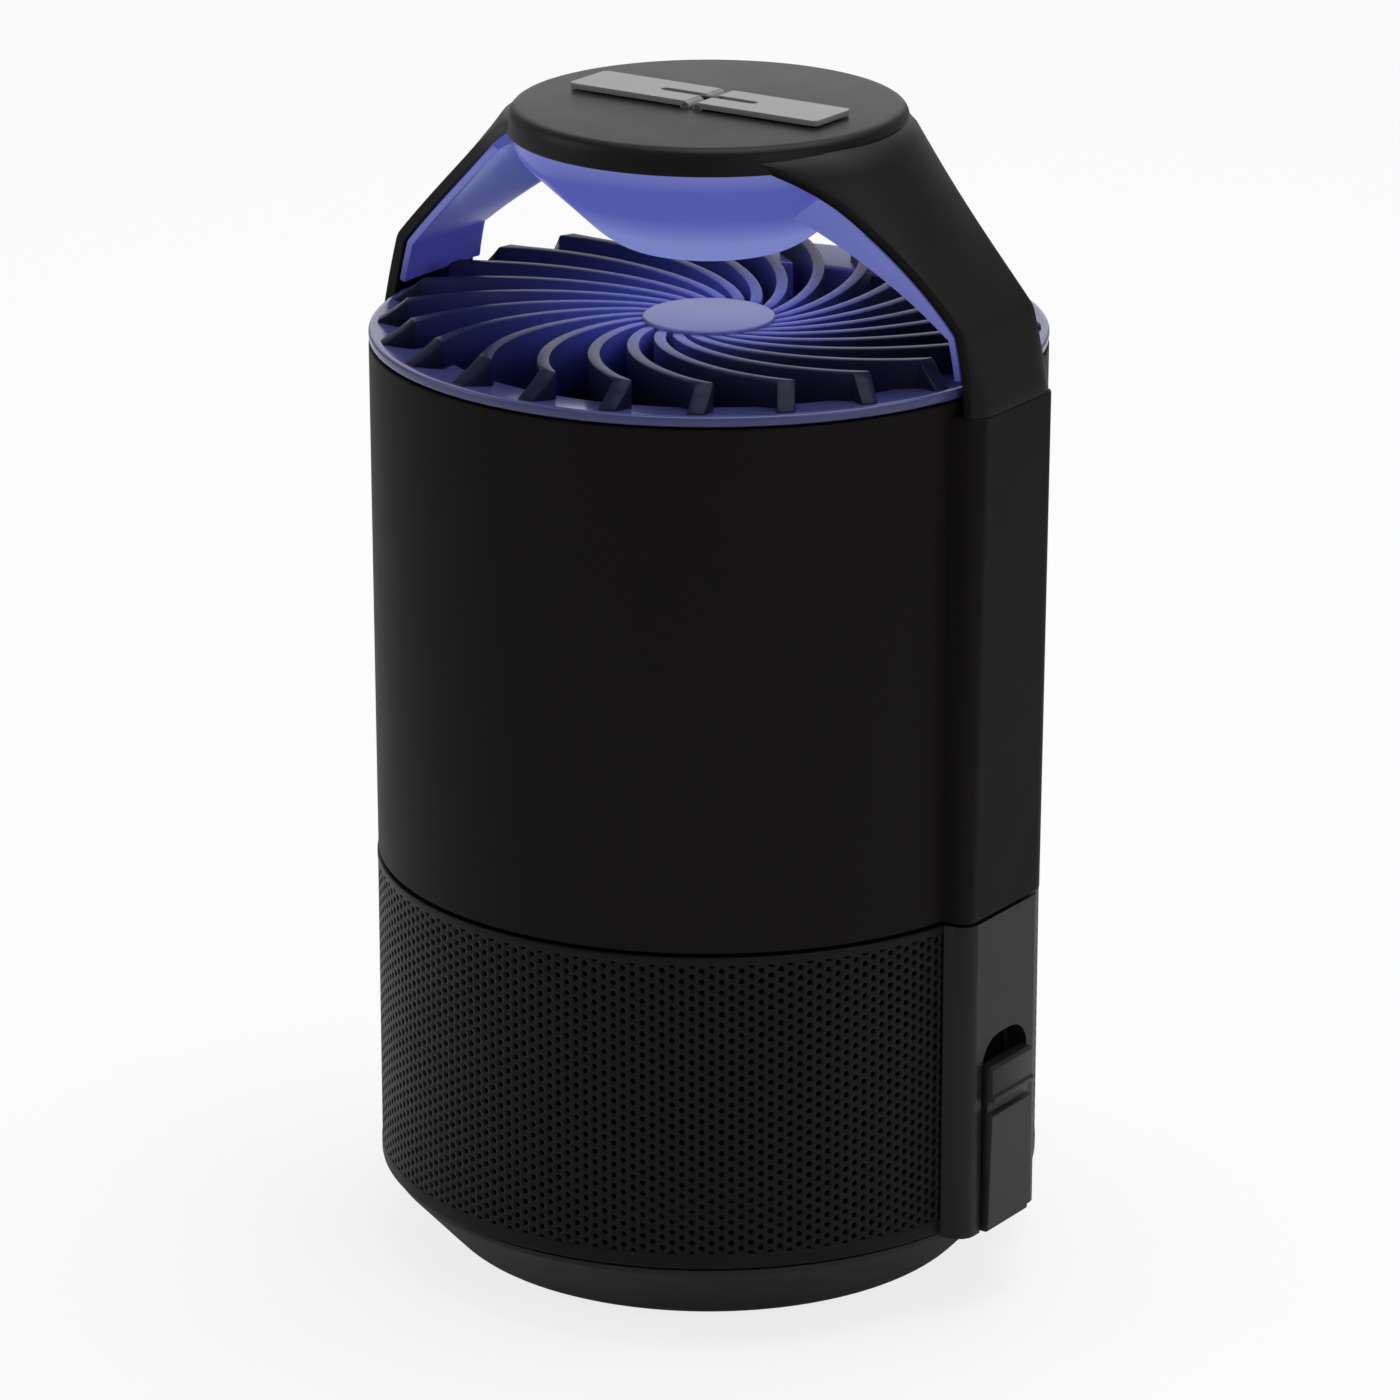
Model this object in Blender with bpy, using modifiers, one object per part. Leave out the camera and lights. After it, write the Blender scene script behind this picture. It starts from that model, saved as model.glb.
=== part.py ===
"""Fan insect trap: a lit cap on two arms, a swirl grille, a fan housing, a mesh basket and a catch tray.

Metres, +Z up. The origin is on the floor at the middle of the base. The front faces -Y, and the two
arms, side panels and squeeze latches lie on +X and -X.
"""
import math

import bmesh
import bpy
from mathutils import Matrix, Vector

MM = 0.001

# Clearances
GAP = 0.3 * MM
PIN_PLAY = 0.15 * MM
EDGE = 0.5 * MM
WELD = 0.001 * MM

# Facets round a full turn
BIG_FACETS = 60
MID_FACETS = 36
SMALL_FACETS = 12
SCREW_FACETS = 8
ROUND_STEPS = 4

# Round body
BODY_RADIUS = 60.7 * MM
RIM_FLARE = 0.3 * MM
WALL = 2.3 * MM

# Catch tray and its foot ring
FOOT_PROUD = 0.8 * MM
FOOT_RADIUS = 38.5 * MM
FOOT_WIDTH = 5.0 * MM
FOOT_DEPTH = 0.7 * MM
TRAY_HEIGHT = 13.8 * MM
TRAY_BOTTOM_RADIUS = 47.5 * MM
TRAY_EDGE_RADIUS = 6.8 * MM
TRAY_WALL = 2.2 * MM
TRAY_LIP = 1.0 * MM
LIP_INSET = 1.4 * MM
SPIGOT_HEIGHT = 6.0 * MM
SPIGOT_WALL = 1.8 * MM
GROOVE_HEIGHT = 0.9 * MM
GROOVE_DEPTH = 2.0 * MM

# Mesh basket and the funnel inside it
BASKET_HEIGHT = 59.2 * MM
BASKET_FLANGE_WIDTH = 7.0 * MM
BASKET_FLANGE_THICKNESS = 2.5 * MM
MESH_PITCH = 3.52 * MM
MESH_SLOT_WIDTH = 1.2 * MM
MESH_MARGIN = 3.0 * MM
MESH_SIDE_MARGIN = 1.5 * MM
FUNNEL_MOUTH_RADIUS = 29.0 * MM
FUNNEL_MOUTH_RISE = 11.5 * MM
FUNNEL_WALL = 1.6 * MM
FUNNEL_FLANGE_THICKNESS = 1.8 * MM

# Housing, its side ribs and the fan duct
SEAM = 0.6 * MM
HOUSING_HEIGHT = 95.7 * MM
RIB_REACH = 3.8 * MM
RIB_HALF_WIDTH = 13.4 * MM
RIB_CORNER = 3.2 * MM
RIB_DRAFT = math.radians(6.0)
RIB_SHORTFALL = 2.5 * MM
SHELF_WIDTH = 3.0 * MM
SHELF_THICKNESS = 1.6 * MM
WIRING_SPACE = 9.4 * MM
DUCT_WALL = 2.0 * MM
DUCT_FLANGE_THICKNESS = 2.0 * MM
BELL_DEPTH = 10.0 * MM

# Swirl grille
GRILLE_RING_WIDTH = 8.5 * MM
GRILLE_SKIRT_DEPTH = 8.5 * MM
GRILLE_LIP_RISE = 2.2 * MM
GRILLE_LIP_ROUND = 1.5 * MM
GRILLE_LIP_STEPS = 2
GRILLE_CROWN_RISE = 1.0 * MM
HUB_RADIUS = 12.0 * MM
HUB_RISE = 3.9 * MM
HUB_HEIGHT = 10.0 * MM
VANE_COUNT = 24
VANE_SWEEP = math.radians(31.0)
VANE_PHASE = math.radians(6.5)
VANE_CURL = math.radians(5.1)
VANE_CURL_POWER = 3
VANE_THICKNESS = 2.2 * MM
VANE_TOP_RISE = 6.5 * MM
VANE_TAIL_RUN = 5.4 * MM
VANE_TAIL_TURN = math.radians(4.5)
VANE_TAIL_THICKNESS = 1.4 * MM
VANE_STEPS = 6
VANE_ROOT_SHARE = 0.7
VANE_EMBED = 0.9 * MM

# Fan, shaft and motor
FAN_BLADES = 7
FAN_TIP_GAP = 1.4 * MM
FAN_HUB_RADIUS = 14.0 * MM
FAN_HUB_HEIGHT = 14.0 * MM
FAN_HUB_WALL = 1.8 * MM
FAN_SLEEVE_WALL = 2.2 * MM
FAN_DROP = 21.0 * MM
BLADE_CHORD = 19.0 * MM
BLADE_THICKNESS = 1.6 * MM
BLADE_ROOT_PITCH = math.radians(38.0)
BLADE_TIP_PITCH = math.radians(24.0)
BLADE_STEPS = 3
SHAFT_RADIUS = 1.5 * MM
SHAFT_SEAT = 10.0 * MM
MOTOR_RADIUS = 12.0 * MM
MOTOR_HEIGHT = 19.0 * MM
MOTOR_BOSS_RADIUS = 4.0 * MM
MOTOR_BOSS_HEIGHT = 2.0 * MM
MOTOR_CLEARANCE = 2.0 * MM
CUP_WALL = 2.0 * MM
CUP_DEPTH = 14.0 * MM
SPOKE_COUNT = 3
SPOKE_WIDTH = 5.0 * MM
SPOKE_HEIGHT = 6.0 * MM

# Cap with its two arms
CAP_RISE = 42.8 * MM
CAP_RADIUS = 36.4 * MM
CAP_EDGE = 1.6 * MM
SKIRT_HEIGHT = 4.8 * MM
SKIRT_FLARE = 0.7 * MM
CAP_THICKNESS = 2.6 * MM
SKIRT_WALL = 2.0 * MM
ARM_THICKNESS = 2.0 * MM
ARM_TOP_PROUD = 0.9 * MM
ARM_KNEE_RISE = 12.4 * MM
ARM_KNEE_INSET = 3.5 * MM
ARM_FOOT_INSET = 0.1 * MM
ARM_KNEE_HALF_WIDTH = 11.6 * MM
ARM_TOP_SPREAD = 9.6 * MM
ARM_SPREAD_EASE = 2.24
ARM_TOP_BULGE = 8.2 * MM
ARM_BULGE_EASE = 1.69
ARM_START_SHARE = 0.04
ARM_STATION_EASE = 1.3
ARM_STEPS = 7
ARM_POINTS_ACROSS = 7
TONGUE_DEPTH = 20.5 * MM
TONGUE_HALF_WIDTH = 8.0 * MM
TONGUE_THICKNESS = 1.8 * MM
TONGUE_INSET = 1.2 * MM

# Light dome, arm liners and lamps
DOME_FLANGE_DROP = 2.4 * MM
DOME_DEPTH = 22.6 * MM
DOME_SHOULDER = 1.2 * MM
DOME_CONE_RADIUS = 20.0 * MM
DOME_CONE_RISE = 5.1 * MM
DOME_DISH_RADIUS = 16.4 * MM
DOME_DISH_RISE = 2.7 * MM
DOME_WALL = 1.6 * MM
DOME_STEPS = 3
LINER_THICKNESS = 1.4 * MM
LINER_TOP_GAIN = 5.0 * MM
LINER_EASE = 1.9
LINER_TOP_SHARE = 0.2
LED_COUNT = 6
LED_RADIUS = 2.5 * MM
LED_HEIGHT = 6.2 * MM
LED_CIRCLE = 14.0 * MM
LED_BOARD_RADIUS = 24.0 * MM
BOARD_THICKNESS = 1.6 * MM
LED_POST_CIRCLE = 19.0 * MM
LED_POST_RADIUS = 2.6 * MM
LED_POST_HEIGHT = 1.9 * MM

# Fold-up hanger
LEAF_LENGTH = 24.0 * MM
LEAF_WIDTH = 11.5 * MM
LEAF_THICKNESS = 1.0 * MM
LEAF_LIFT = 0.25 * MM
LEAF_SLIT_LENGTH = 8.0 * MM
LEAF_SLIT_WIDTH = 1.9 * MM
LEAF_CORNER = 1.2 * MM
HINGE_OFFSET = 1.3 * MM
HINGE_RISE = 0.15 * MM
KNUCKLE_RADIUS = 1.0 * MM
HANGER_PIN_RADIUS = 0.45 * MM
LUG_WIDTH = 1.4 * MM

# Side panels, squeeze latches and their pins
PANEL_DROP = 2.2 * MM
LATCH_HALF_WIDTH = 6.8 * MM
LATCH_HEIGHT = 33.6 * MM
LATCH_SIDE_GAP = 0.8 * MM
LATCH_TOP_PROUD = 2.2 * MM
LATCH_FOOT_PROUD = 1.2 * MM
LATCH_FOOT_THICKNESS = 3.9 * MM
LATCH_THICKNESS = 3.2 * MM
LATCH_GRIP_HEIGHT = 7.0 * MM
LATCH_GROOVE_HEIGHT = 2.4 * MM
LATCH_GROOVE_DEPTH = 1.0 * MM
LATCH_RIDGE = 0.4 * MM
RECESS_HEIGHT = 5.0 * MM
RECESS_CORNER = 5.5 * MM
LATCH_PIN_RADIUS = 0.9 * MM
LATCH_PIN_DEPTH = 1.6 * MM
LATCH_PIN_SET = 2.3 * MM

# Control board, push button and power inlet at the rear
BOARD_WIDTH = 34.0 * MM
BOARD_HEIGHT = 44.0 * MM
BOARD_RISE = 22.7 * MM
BOARD_STANDOFF = 3.6 * MM
BOARD_POST_RADIUS = 2.5 * MM
BOARD_POST_SPREAD = 12.0 * MM
BOARD_POST_MARGIN = 4.0 * MM
SWITCH_SIZE = 6.0 * MM
SWITCH_HEIGHT = 2.6 * MM
BUTTON_RADIUS = 4.0 * MM
BUTTON_COLLAR = 1.2 * MM
BUTTON_COLLAR_THICKNESS = 0.9 * MM
BUTTON_RISE = 31.0 * MM
BUTTON_PROUD = 0.2 * MM
INLET_RISE = 12.7 * MM
INLET_RADIUS = 5.5 * MM
INLET_BORE_RADIUS = 3.2 * MM
INLET_BORE_DEPTH = 8.0 * MM
INLET_PIN_RADIUS = 1.0 * MM
INLET_CLEARANCE = 1.2 * MM
INLET_COLLAR = 2.0 * MM
INLET_COLLAR_THICKNESS = 1.8 * MM

# Screws
SCREW_RADIUS = 1.2 * MM
SCREW_HEAD_RADIUS = 2.3 * MM
SCREW_HEAD_HEIGHT = 1.5 * MM
SCREW_LENGTH = 9.0 * MM
SMALL_SCREW_LENGTH = 4.6 * MM
SCREW_COUNT = 4
BOSS_RADIUS = 3.4 * MM
BOSS_HEIGHT = 13.0 * MM
ARM_SCREW_DROP = 15.0 * MM
ARM_SCREW_SPREAD = 5.0 * MM

# Heights worked out from the sizes above
tray_bottom = FOOT_PROUD
tray_lip = tray_bottom + TRAY_HEIGHT
basket_bottom = tray_lip + GROOVE_HEIGHT
basket_top = basket_bottom + BASKET_HEIGHT
housing_bottom = basket_top + SEAM
rim_height = housing_bottom + HOUSING_HEIGHT
rim_radius = BODY_RADIUS + RIM_FLARE
housing_inner = BODY_RADIUS - WALL
rim_inner = rim_radius - WALL
duct_outer = housing_inner - WIRING_SPACE
duct_inner = duct_outer - DUCT_WALL
rib_face = BODY_RADIUS + RIB_REACH
rib_top = rim_height - RIB_SHORTFALL
grille_bottom = rim_height - GRILLE_SKIRT_DEPTH
grille_outer = rim_inner - GAP
grille_inner = grille_outer - GRILLE_RING_WIDTH
lip_top = rim_height + GRILLE_LIP_RISE
tail_radius = rim_radius - GRILLE_LIP_ROUND
shoulder_radius = tail_radius - VANE_TAIL_RUN
duct_flange_top = grille_bottom - GAP
duct_flange_bottom = duct_flange_top - DUCT_FLANGE_THICKNESS
shelf_top = duct_flange_bottom - GAP
cap_top = rim_height + CAP_RISE
cap_ceiling = cap_top - CAP_THICKNESS
skirt_bottom = cap_top - SKIRT_HEIGHT
skirt_radius = CAP_RADIUS + SKIRT_FLARE
skirt_inner = skirt_radius - SKIRT_WALL
knee_height = rim_height + ARM_KNEE_RISE
knee_reach = rib_face - ARM_KNEE_INSET
foot_height = rib_top + GAP
foot_reach = rib_face - ARM_FOOT_INSET
boss_circle = housing_inner - BOSS_RADIUS + EDGE
funnel_flange_bottom = basket_top + GAP
funnel_flange_top = funnel_flange_bottom + FUNNEL_FLANGE_THICKNESS
boss_bottom = funnel_flange_top + GAP


def clear_scene():
    """Remove what the scene holds, so that the part starts from nothing."""
    for thing in list(bpy.data.objects):
        bpy.data.objects.remove(thing, do_unlink=True)


def new_collection(name):
    """A collection under the scene's own."""
    group = bpy.data.collections.new(name)
    bpy.context.scene.collection.children.link(group)
    return group


clear_scene()
parts = new_collection("fan_insect_trap")
cutters = new_collection("cutters")


def plastic(name, colour, roughness, metallic=0.0):
    """A Principled material."""
    material = bpy.data.materials.new(name)
    material.use_nodes = True
    shader = material.node_tree.nodes["Principled BSDF"]
    shader.inputs["Base Color"].default_value = (*colour, 1.0)
    shader.inputs["Roughness"].default_value = roughness
    shader.inputs["Metallic"].default_value = metallic
    return material


black = plastic("matte_black", (0.010, 0.009, 0.009), 0.5)
satin = plastic("satin_black", (0.022, 0.021, 0.021), 0.35)
gloss = plastic("gloss_black", (0.012, 0.012, 0.016), 0.12)
violet = plastic("violet_diffuser", (0.26, 0.25, 0.78), 0.3)
grey = plastic("light_grey", (0.42, 0.42, 0.42), 0.45)
rubber = plastic("soft_rubber", (0.02, 0.02, 0.02), 0.9)
board_green = plastic("board_green", (0.02, 0.10, 0.05), 0.5)
lamp_clear = plastic("lamp_lens", (0.45, 0.40, 0.80), 0.1)
steel = plastic("steel", (0.55, 0.55, 0.56), 0.3, 1.0)
inner_grey = plastic("inner_grey", (0.05, 0.05, 0.055), 0.5)


def add_object(name, mesh, material, group=None):
    """Put a mesh in a collection as one named object."""
    mesh.name = name
    if not mesh.materials:
        mesh.materials.append(material)
    thing = bpy.data.objects.new(name, mesh)
    (group or parts).objects.link(thing)
    return thing


def mesh_from(shape):
    """Turn a closed bmesh into a mesh with its faces pointing out."""
    bmesh.ops.recalc_face_normals(shape, faces=shape.faces)
    mesh = bpy.data.meshes.new("shape")
    shape.to_mesh(mesh)
    shape.free()
    return mesh


def turned(name, profile, material, facets, closed=False, group=None):
    """A profile of (radius, height) points, spun round Z. Its outer side runs from top to bottom."""
    shape = bmesh.new()
    points = [shape.verts.new((radius, 0.0, height)) for radius, height in profile]
    for first, second in zip(points, points[1:]):
        shape.edges.new((first, second))
    if closed:
        shape.edges.new((points[-1], points[0]))
    mesh = bpy.data.meshes.new(name)
    shape.to_mesh(mesh)
    shape.free()
    thing = add_object(name, mesh, material, group)
    spin = thing.modifiers.new("Spin", "SCREW")
    spin.axis = "Z"
    spin.steps = facets
    spin.render_steps = facets
    spin.use_merge_vertices = True
    spin.merge_threshold = WELD
    spin.use_smooth_shade = True
    return thing


def cylinder(name, radius, length, material, facets=SMALL_FACETS, group=None):
    """A round bar along Z, centred on its origin."""
    shape = bmesh.new()
    bmesh.ops.create_cone(shape, cap_ends=True, segments=facets, radius1=radius, radius2=radius, depth=length)
    return add_object(name, mesh_from(shape), material, group)


def block(name, low, high, material, group=None):
    """A box between two corners."""
    low, high = Vector(low), Vector(high)
    shape = bmesh.new()
    bmesh.ops.create_cube(shape, size=1.0)
    bmesh.ops.scale(shape, vec=high - low, verts=shape.verts)
    bmesh.ops.translate(shape, vec=(low + high) / 2, verts=shape.verts)
    return add_object(name, mesh_from(shape), material, group)


def prism(name, outline, thickness, material, group=None):
    """A flat outline in XY, drawn as a filled curve and given a thickness along Z."""
    curve = bpy.data.curves.new(name, "CURVE")
    curve.dimensions = "2D"
    curve.fill_mode = "BOTH"
    curve.extrude = thickness / 2
    spline = curve.splines.new("POLY")
    spline.points.add(len(outline) - 1)
    for point, (x, y) in zip(spline.points, outline):
        point.co = (x, y, 0.0, 1.0)
    spline.use_cyclic_u = True
    drawn = bpy.data.objects.new(name + "_outline", curve)
    cutters.objects.link(drawn)
    bpy.context.view_layer.update()
    drawn_mesh = bpy.data.meshes.new_from_object(drawn.evaluated_get(bpy.context.evaluated_depsgraph_get()))
    bpy.data.objects.remove(drawn, do_unlink=True)
    shape = bmesh.new()
    shape.from_mesh(drawn_mesh)
    bmesh.ops.remove_doubles(shape, verts=shape.verts, dist=WELD)
    bpy.data.meshes.remove(drawn_mesh)
    return add_object(name, mesh_from(shape), material, group)


def loft(shape, sections):
    """Join closed sections of equal point counts into a skin with capped ends."""
    rings = [[shape.verts.new(point) for point in section] for section in sections]
    count = len(rings[0])
    for first, second in zip(rings, rings[1:]):
        for index in range(count):
            after = (index + 1) % count
            shape.faces.new((first[index], first[after], second[after], second[index]))
    shape.faces.new(rings[0])
    shape.faces.new(list(reversed(rings[-1])))


def combine(target, tool, operation):
    """Cut a tool from a piece, or join it on, and keep the tool out of the finished part."""
    change = target.modifiers.new(operation.title() + "_" + tool.name, "BOOLEAN")
    change.operation = operation
    change.solver = "EXACT"
    change.object = tool
    for group in list(tool.users_collection):
        group.objects.unlink(tool)
    cutters.objects.link(tool)
    tool.hide_render = True
    tool.display_type = "WIRE"


def cut(target, tool):
    """Take a tool's shape out of a piece."""
    combine(target, tool, "DIFFERENCE")


def join(target, tool):
    """Make a tool's shape part of a piece."""
    combine(target, tool, "UNION")


def place(thing, location, turn=(0.0, 0.0, 0.0)):
    """Move a piece to its place and turn it."""
    thing.location = location
    thing.rotation_euler = turn
    return thing


def arc(centre, radius, start, end, steps):
    """Points on an arc, from one angle in degrees to another."""
    angles = [math.radians(start + (end - start) * step / steps) for step in range(steps + 1)]
    return [(centre[0] + radius * math.cos(a), centre[1] + radius * math.sin(a)) for a in angles]


def polar(radius, angle, height=0.0):
    """A point at a radius and an angle round Z."""
    return Vector((radius * math.cos(angle), radius * math.sin(angle), height))


# Turns that lay a piece's own Z axis along a world axis
ALONG_X = (0.0, math.pi / 2, 0.0)
ALONG_Y = (-math.pi / 2, 0.0, 0.0)
SIDES = (("right", 1.0, 0.0), ("left", -1.0, math.pi))
QUARTERS = [math.pi / 4 + math.pi / 2 * index for index in range(SCREW_COUNT)]


def hole(target, name, radius, length, location, turn=(0.0, 0.0, 0.0), facets=SMALL_FACETS):
    """Drill a round hole through a piece."""
    drill = cylinder(name, radius, length, black, facets)
    place(drill, location, turn)
    cut(target, drill)


def screw(name, length, location, turn=(0.0, 0.0, 0.0)):
    """A pan-head screw: its head lies below its origin and its shank runs up its own Z axis."""
    profile = [(0.0, length), (SCREW_RADIUS, length), (SCREW_RADIUS, 0.0), (SCREW_HEAD_RADIUS, 0.0),
               (SCREW_HEAD_RADIUS, -SCREW_HEAD_HEIGHT), (0.0, -SCREW_HEAD_HEIGHT)]
    return place(turned(name, profile, steel, SCREW_FACETS), location, turn)


def make_catch_tray():
    """The dish that the insects fall into, with a spigot that centres the basket."""
    outer = BODY_RADIUS - LIP_INSET
    lip_bottom = tray_lip - TRAY_LIP
    shoulder = basket_bottom - GAP
    spigot = BODY_RADIUS - WALL - GAP
    floor = tray_bottom + TRAY_WALL
    pad_top = tray_bottom + FOOT_DEPTH + GAP
    slope = math.atan2(lip_bottom - tray_bottom, outer - TRAY_BOTTOM_RADIUS)
    setback = TRAY_EDGE_RADIUS * math.tan(slope / 2)
    edge = arc((TRAY_BOTTOM_RADIUS - setback, tray_bottom + TRAY_EDGE_RADIUS), TRAY_EDGE_RADIUS,
               math.degrees(slope) - 90.0, -90.0, ROUND_STEPS)
    profile = [
        (0.0, floor), (TRAY_BOTTOM_RADIUS - TRAY_WALL, floor),
        (spigot - SPIGOT_WALL, lip_bottom), (spigot - SPIGOT_WALL, shoulder + SPIGOT_HEIGHT),
        (spigot, shoulder + SPIGOT_HEIGHT), (spigot, shoulder),
        (BODY_RADIUS - GROOVE_DEPTH, shoulder), (BODY_RADIUS - GROOVE_DEPTH, tray_lip),
        (outer, tray_lip), (outer, lip_bottom), *edge,
        (FOOT_RADIUS + FOOT_WIDTH / 2 + GAP, tray_bottom), (FOOT_RADIUS + FOOT_WIDTH / 2 + GAP, pad_top),
        (FOOT_RADIUS - FOOT_WIDTH / 2 - GAP, pad_top), (FOOT_RADIUS - FOOT_WIDTH / 2 - GAP, tray_bottom),
        (0.0, tray_bottom)]
    turned("catch_tray", profile, black, BIG_FACETS)


def make_foot_ring():
    """The rubber ring that the trap stands on."""
    outer, inner = FOOT_RADIUS + FOOT_WIDTH / 2, FOOT_RADIUS - FOOT_WIDTH / 2
    top = tray_bottom + FOOT_DEPTH
    profile = [(outer, top), (outer, 0.0), (inner, 0.0), (inner, top)]
    turned("foot_ring", profile, rubber, MID_FACETS, closed=True)


def basket_slots():
    """The upright slots of the basket's mesh as one tool: two fields, between the side panels."""
    low = basket_bottom + MESH_MARGIN
    high = basket_top - BASKET_FLANGE_THICKNESS - EDGE
    start = math.asin(RIB_HALF_WIDTH / BODY_RADIUS) + MESH_SIDE_MARGIN / BODY_RADIUS
    pitch = MESH_PITCH / BODY_RADIUS
    count = int((math.pi - 2 * start) / pitch) + 1
    first = (math.pi - pitch * (count - 1)) / 2
    size = Matrix.Diagonal((4 * WALL, MESH_SLOT_WIDTH, high - low, 1.0))
    out = Matrix.Translation((BODY_RADIUS - WALL / 2, 0.0, (low + high) / 2))
    shape = bmesh.new()
    for field in range(2):
        for number in range(count):
            turn = Matrix.Rotation(math.pi * field + first + pitch * number, 4, "Z")
            bmesh.ops.create_cube(shape, size=1.0, matrix=turn @ out @ size)
    return add_object("basket_slots", mesh_from(shape), black)


def make_basket_wall():
    """The slotted round wall of the basket, with a flange inside its top for the screws."""
    flange = basket_top - BASKET_FLANGE_THICKNESS
    inner = housing_inner - BASKET_FLANGE_WIDTH
    profile = [(BODY_RADIUS, basket_top), (BODY_RADIUS, basket_bottom + EDGE),
               (BODY_RADIUS - EDGE, basket_bottom), (housing_inner, basket_bottom),
               (housing_inner, flange), (inner, flange), (inner, basket_top)]
    wall = turned("basket_wall", profile, black, BIG_FACETS, closed=True)
    cut(wall, basket_slots())
    for number, angle in enumerate(QUARTERS, start=1):
        hole(wall, f"basket_hole_{number}", SCREW_RADIUS + GAP, 4 * BASKET_FLANGE_THICKNESS,
             polar(boss_circle, angle, flange), facets=SCREW_FACETS)


def make_funnel():
    """The cone that lets insects down into the tray and not back up."""
    top_radius = housing_inner - BASKET_FLANGE_WIDTH - GAP
    mouth = basket_bottom + FUNNEL_MOUTH_RISE
    outer = housing_inner - 2 * GAP
    profile = [(outer, funnel_flange_top), (outer, funnel_flange_bottom), (top_radius, funnel_flange_bottom),
               (FUNNEL_MOUTH_RADIUS + FUNNEL_WALL, mouth), (FUNNEL_MOUTH_RADIUS, mouth),
               (top_radius - FUNNEL_WALL, funnel_flange_top)]
    funnel = turned("escape_funnel", profile, inner_grey, MID_FACETS, closed=True)
    for number, angle in enumerate(QUARTERS, start=1):
        hole(funnel, f"funnel_hole_{number}", SCREW_RADIUS + GAP, 4 * FUNNEL_FLANGE_THICKNESS,
             polar(boss_circle, angle, funnel_flange_bottom), facets=SCREW_FACETS)


def make_basket_screws():
    """The screws that hold basket and funnel to the housing, driven up from inside the basket."""
    for number, angle in enumerate(QUARTERS, start=1):
        head = basket_top - BASKET_FLANGE_THICKNESS - GAP
        screw(f"basket_screw_{number}", SCREW_LENGTH, polar(boss_circle, angle, head))


def rib_section(root, face):
    """The outline of a side rib: a straight root, slanted sides, round corners and a flat face."""
    side = RIB_HALF_WIDTH - (face - root) * math.tan(RIB_DRAFT)
    last = 90.0 - math.degrees(RIB_DRAFT)
    corner = arc((face - RIB_CORNER, side - RIB_CORNER), RIB_CORNER, 0.0, last, ROUND_STEPS)
    upper = corner + [(root, RIB_HALF_WIDTH)]
    return [(x, -y) for x, y in reversed(upper)] + upper


def make_housing():
    """The drum round the fan, with a shelf for the duct, side ribs, screw bosses and rear holes."""
    profile = [(rim_radius - EDGE, rim_height), (rim_radius, rim_height - EDGE),
               (BODY_RADIUS, housing_bottom), (housing_inner, housing_bottom),
               (housing_inner, shelf_top - SHELF_THICKNESS - SHELF_WIDTH / 2),
               (housing_inner - SHELF_WIDTH, shelf_top - SHELF_THICKNESS),
               (housing_inner - SHELF_WIDTH, shelf_top),
               (rim_inner, shelf_top), (rim_inner, rim_height)]
    housing = turned("housing", profile, black, BIG_FACETS, closed=True)
    rib_length = rib_top - housing_bottom
    pocket_high = foot_reach - TONGUE_INSET + GAP
    pocket_low = pocket_high - TONGUE_THICKNESS - 2 * GAP
    pocket_bottom = rib_top - TONGUE_DEPTH - GAP
    for side, sign, turn in SIDES:
        rib = prism(f"rib_{side}", rib_section(housing_inner, rib_face), rib_length, black)
        place(rib, (0.0, 0.0, housing_bottom + rib_length / 2), (0.0, 0.0, turn))
        core = cylinder(f"rib_core_{side}", BODY_RADIUS - WALL / 2, 2 * rib_length, black, BIG_FACETS)
        cut(rib, place(core, (0.0, 0.0, housing_bottom + rib_length / 2)))
        join(housing, rib)
        pocket = block(f"tongue_pocket_{side}", (pocket_low, -TONGUE_HALF_WIDTH - GAP, pocket_bottom),
                       (pocket_high, TONGUE_HALF_WIDTH + GAP, rim_height), black)
        place(pocket, (0.0, 0.0, 0.0), (0.0, 0.0, turn))
        cut(housing, pocket)
        for end in (-1.0, 1.0):
            spot = (sign * housing_inner, end * ARM_SCREW_SPREAD, rib_top - ARM_SCREW_DROP)
            hole(housing, f"arm_screw_hole_{side}_{int(end)}", SCREW_RADIUS + GAP,
                 2 * (pocket_low - housing_inner) + WALL, spot, ALONG_X, SCREW_FACETS)
    for number, angle in enumerate(QUARTERS, start=1):
        boss = cylinder(f"boss_{number}", BOSS_RADIUS, BOSS_HEIGHT, black)
        join(housing, place(boss, polar(boss_circle, angle, boss_bottom + BOSS_HEIGHT / 2)))
        hole(housing, f"boss_hole_{number}", SCREW_RADIUS + GAP, 2 * (SCREW_LENGTH + GAP),
             polar(boss_circle, angle, basket_top - BASKET_FLANGE_THICKNESS - GAP), facets=SCREW_FACETS)
    for number, (x, z) in enumerate(board_posts(), start=1):
        start = board_back() + GAP
        end = math.sqrt(housing_inner ** 2 - x ** 2) + WALL / 2
        post = cylinder(f"board_post_{number}", BOARD_POST_RADIUS, end - start, black)
        join(housing, place(post, (x, (start + end) / 2, z), ALONG_Y))
        hole(housing, f"board_post_hole_{number}", SCREW_RADIUS + GAP, 2 * SMALL_SCREW_LENGTH,
             (x, board_front(), z), ALONG_Y, SCREW_FACETS)
    hole(housing, "button_hole", BUTTON_RADIUS + GAP, 4 * WALL,
         (0.0, BODY_RADIUS, housing_bottom + BUTTON_RISE), ALONG_Y)
    hole(housing, "inlet_hole", INLET_RADIUS + GAP, 4 * WALL,
         (0.0, BODY_RADIUS, housing_bottom + INLET_RISE), ALONG_Y)


def board_back():
    """The board's rear face, towards the housing wall."""
    return board_front() + BOARD_THICKNESS


def board_front():
    """The board's front face, towards the duct."""
    return duct_outer + BOARD_STANDOFF - BOARD_THICKNESS


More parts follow.
